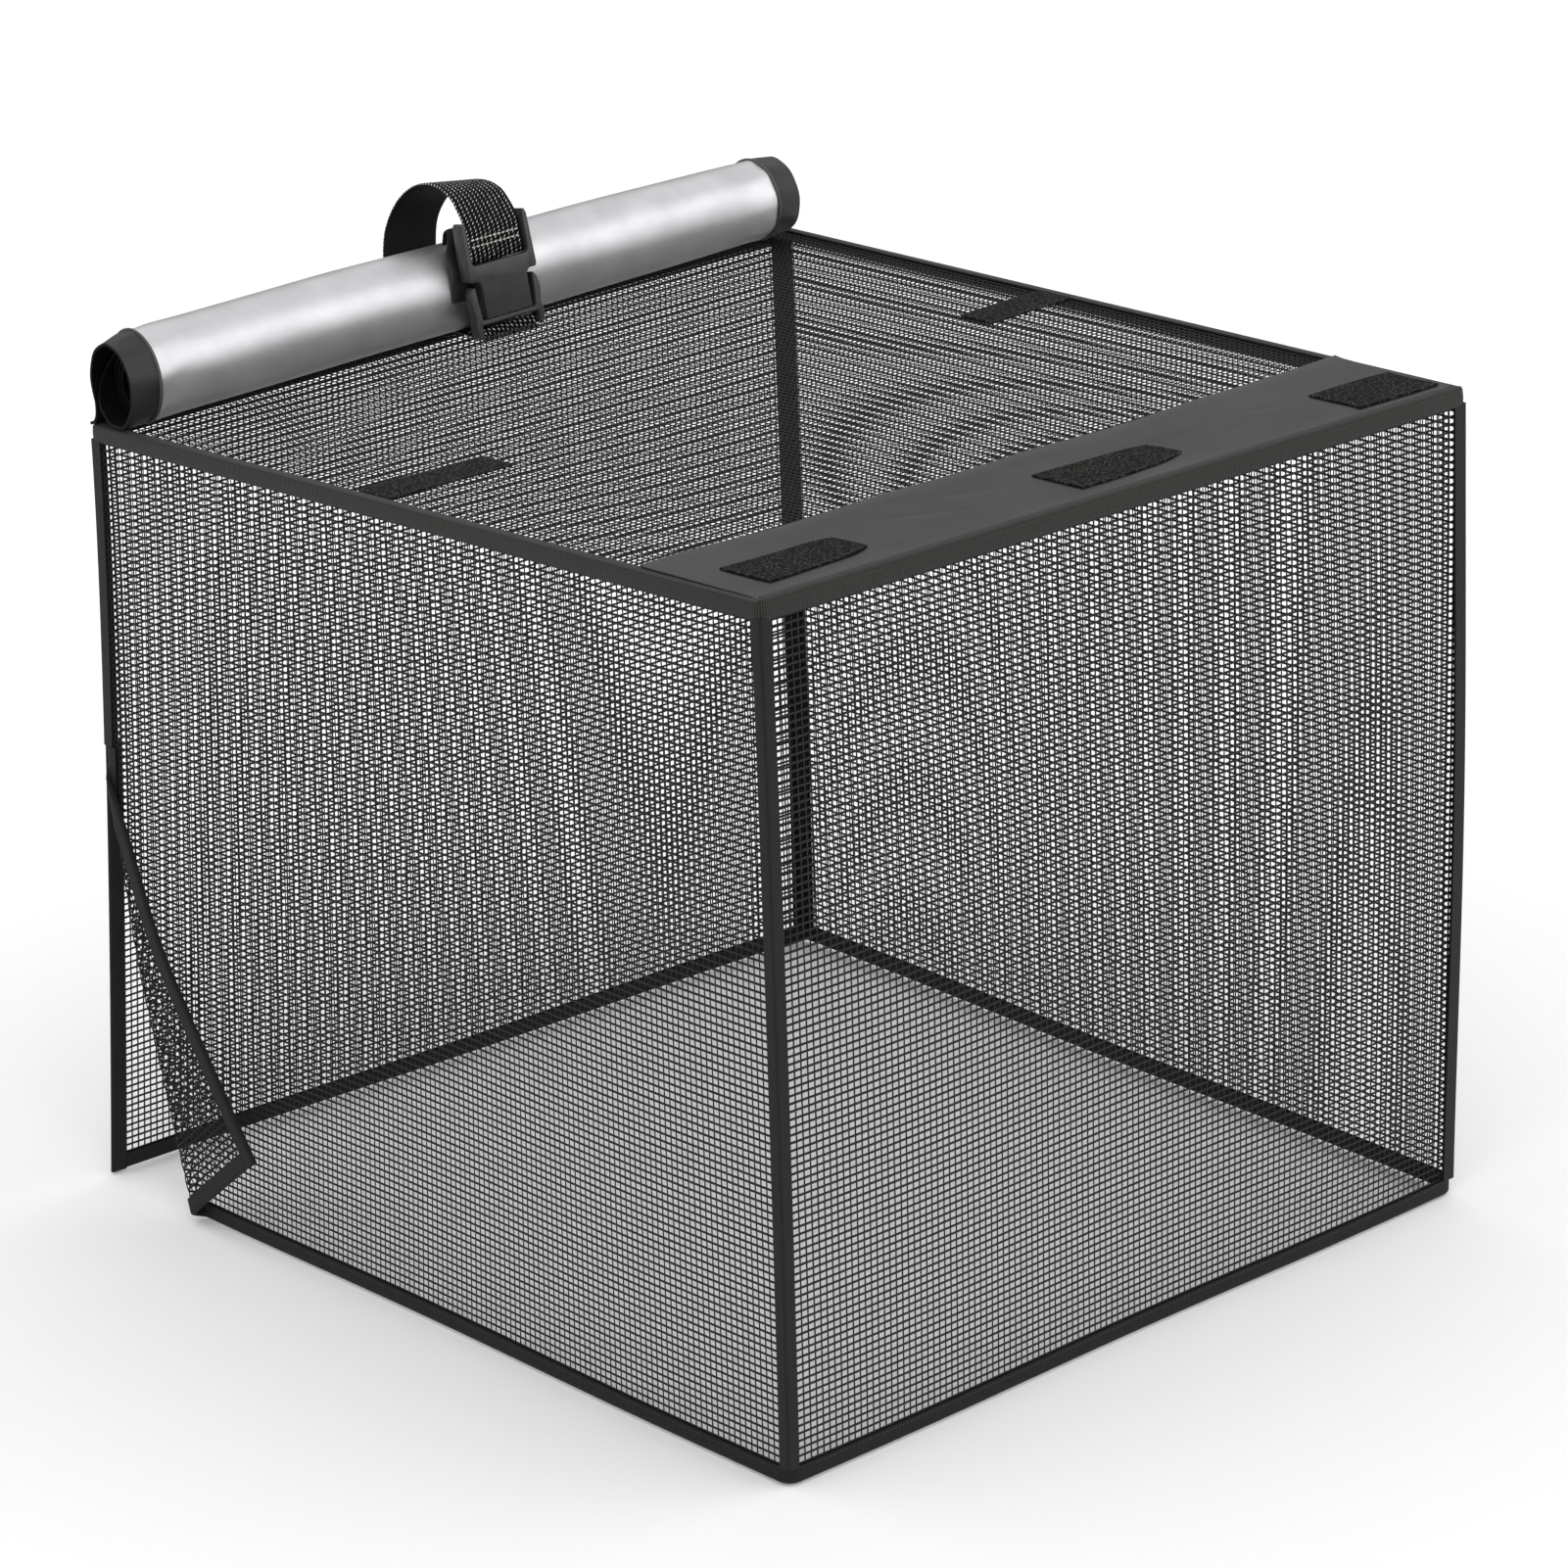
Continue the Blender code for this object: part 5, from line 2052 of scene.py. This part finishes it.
    def build(self, finishes: Finishes) -> None:
        """Builds the strap and dresses the buckle.

        Args:
            finishes: the materials.
        """
        self.build_arc(finishes)
        tail = self.smooth_path(self.tail, 6)
        self.webbing("strap_tail", tail, "silver_flap", finishes, [finishes.band] * 2)
        self.build_under(finishes)
        for name in ("buckle_female", "buckle_male"):
            self.moulded_half(name, finishes)


@dataclass
class Studio:
    """Floor, lights and camera."""

    floor_z: float = -0.604
    floor_size: float = 240.0
    sight: float = 400.0
    room: float = 0.14
    # name, radiant power per area, how wide it looks, and the way to it
    suns: tuple[tuple[str, float, float, tuple[float, float, float]], ...] = (
        ("overhead_softbox", 2.75, math.radians(144), (0.05, -0.05, 1.0)),
        ("rear_softbox", 0.95, math.radians(64), (0.74, 0.60, 0.30)),
        ("front_softbox", 0.7, math.radians(70), (0.80, -0.60, 0.50)),
    )
    lens_mm: float = 112.46
    sensor_mm: float = 36.0
    eye: tuple[float, float, float] = (2.62433, -2.14217, 0.88931)
    forward: tuple[float, float, float] = (-0.731358, 0.597475, -0.328844)
    right: tuple[float, float, float] = (0.646350, 0.761078, -0.054703)
    up: tuple[float, float, float] = (-0.217592, 0.252556, 0.942799)

    def camera(self) -> None:
        """Places the camera at the picture's viewpoint."""
        data = bpy.data.cameras.new("studio_camera")
        data.lens = self.lens_mm
        data.sensor_width = self.sensor_mm
        data.clip_end = self.sight
        camera = bpy.data.objects.new("studio_camera", data)
        bpy.context.scene.collection.objects.link(camera)
        columns = (Vector(self.right), Vector(self.up), -Vector(self.forward))
        turned = Matrix(columns).transposed().to_4x4()
        camera.matrix_world = Matrix.Translation(self.eye) @ turned
        bpy.context.scene.camera = camera

    def floor(self, finishes: Finishes) -> None:
        """Lays the floor.

        Args:
            finishes: the materials.
        """
        bpy.ops.mesh.primitive_plane_add(size=self.floor_size, location=(0, 0, self.floor_z))
        plane = bpy.context.active_object
        plane.name = "studio_floor"
        bpy.ops.object.transform_apply(location=True, rotation=True, scale=True)
        plane.data.materials.append(finishes.floor)

    def lights(self) -> None:
        """Lights the scene: a dim room, a very broad light overhead, and softer ones behind and in front."""
        world = bpy.data.worlds.new("studio_world")
        bpy.context.scene.world = world
        world.use_nodes = True
        background = world.node_tree.nodes["Background"]
        background.inputs["Color"].default_value = (1.0, 1.0, 1.0, 1.0)
        background.inputs["Strength"].default_value = self.room
        for name, energy, angle, way in self.suns:
            data = bpy.data.lights.new(name, "SUN")
            data.angle = angle
            data.energy = energy
            light = bpy.data.objects.new(name, data)
            bpy.context.scene.collection.objects.link(light)
            light.rotation_euler = Vector(way).to_track_quat("Z", "Y").to_euler()
        bpy.context.scene.view_settings.view_transform = "Standard"

    def build(self, finishes: Finishes) -> None:
        """Sets up the studio.

        Args:
            finishes: the materials.
        """
        self.camera()
        self.floor(finishes)
        self.lights()


def main() -> None:
    """Builds the dressed cover."""
    logging.basicConfig(level=logging.INFO, format="%(message)s")
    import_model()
    bpy.ops.object.select_all(action="DESELECT")
    finishes = Finishes()
    Studio().build(finishes)

    walls = {
        "front_left": TurnedWall("left", "front"),
        "front_right": Wall("front", "right"),
        "back_right": Wall("right", "back"),
        "back_left": Wall("back", "left"),
    }
    for name, wall in walls.items():
        start = SLIT_EDGE if name == "front_left" else NET_INSET
        end = REAR_SLIT_EDGE if name == "back_left" else NET_INSET
        wide = wall.length - start - end
        panel = NetPanel("net_" + name + "_panel", "net_" + name, wide, HEIGHT,
                         wall.place, wall.bend_breaks, start)
        panel.build(finishes)
    panel = NetPanel("net_top_panel", "net_top", LENGTH - 2 * NET_INSET, WIDTH - 2 * NET_INSET, top_place,
                     lambda a, b: [], NET_INSET - LENGTH / 2, NET_INSET - WIDTH / 2)
    panel.build(finishes)

    Bindings(walls).build(finishes)
    TopFittings().build(finishes)
    RolledFlap(walls["back_left"]).build(finishes)
    StrapAndBuckle().build(finishes)


if __name__ == "__main__":
    main()
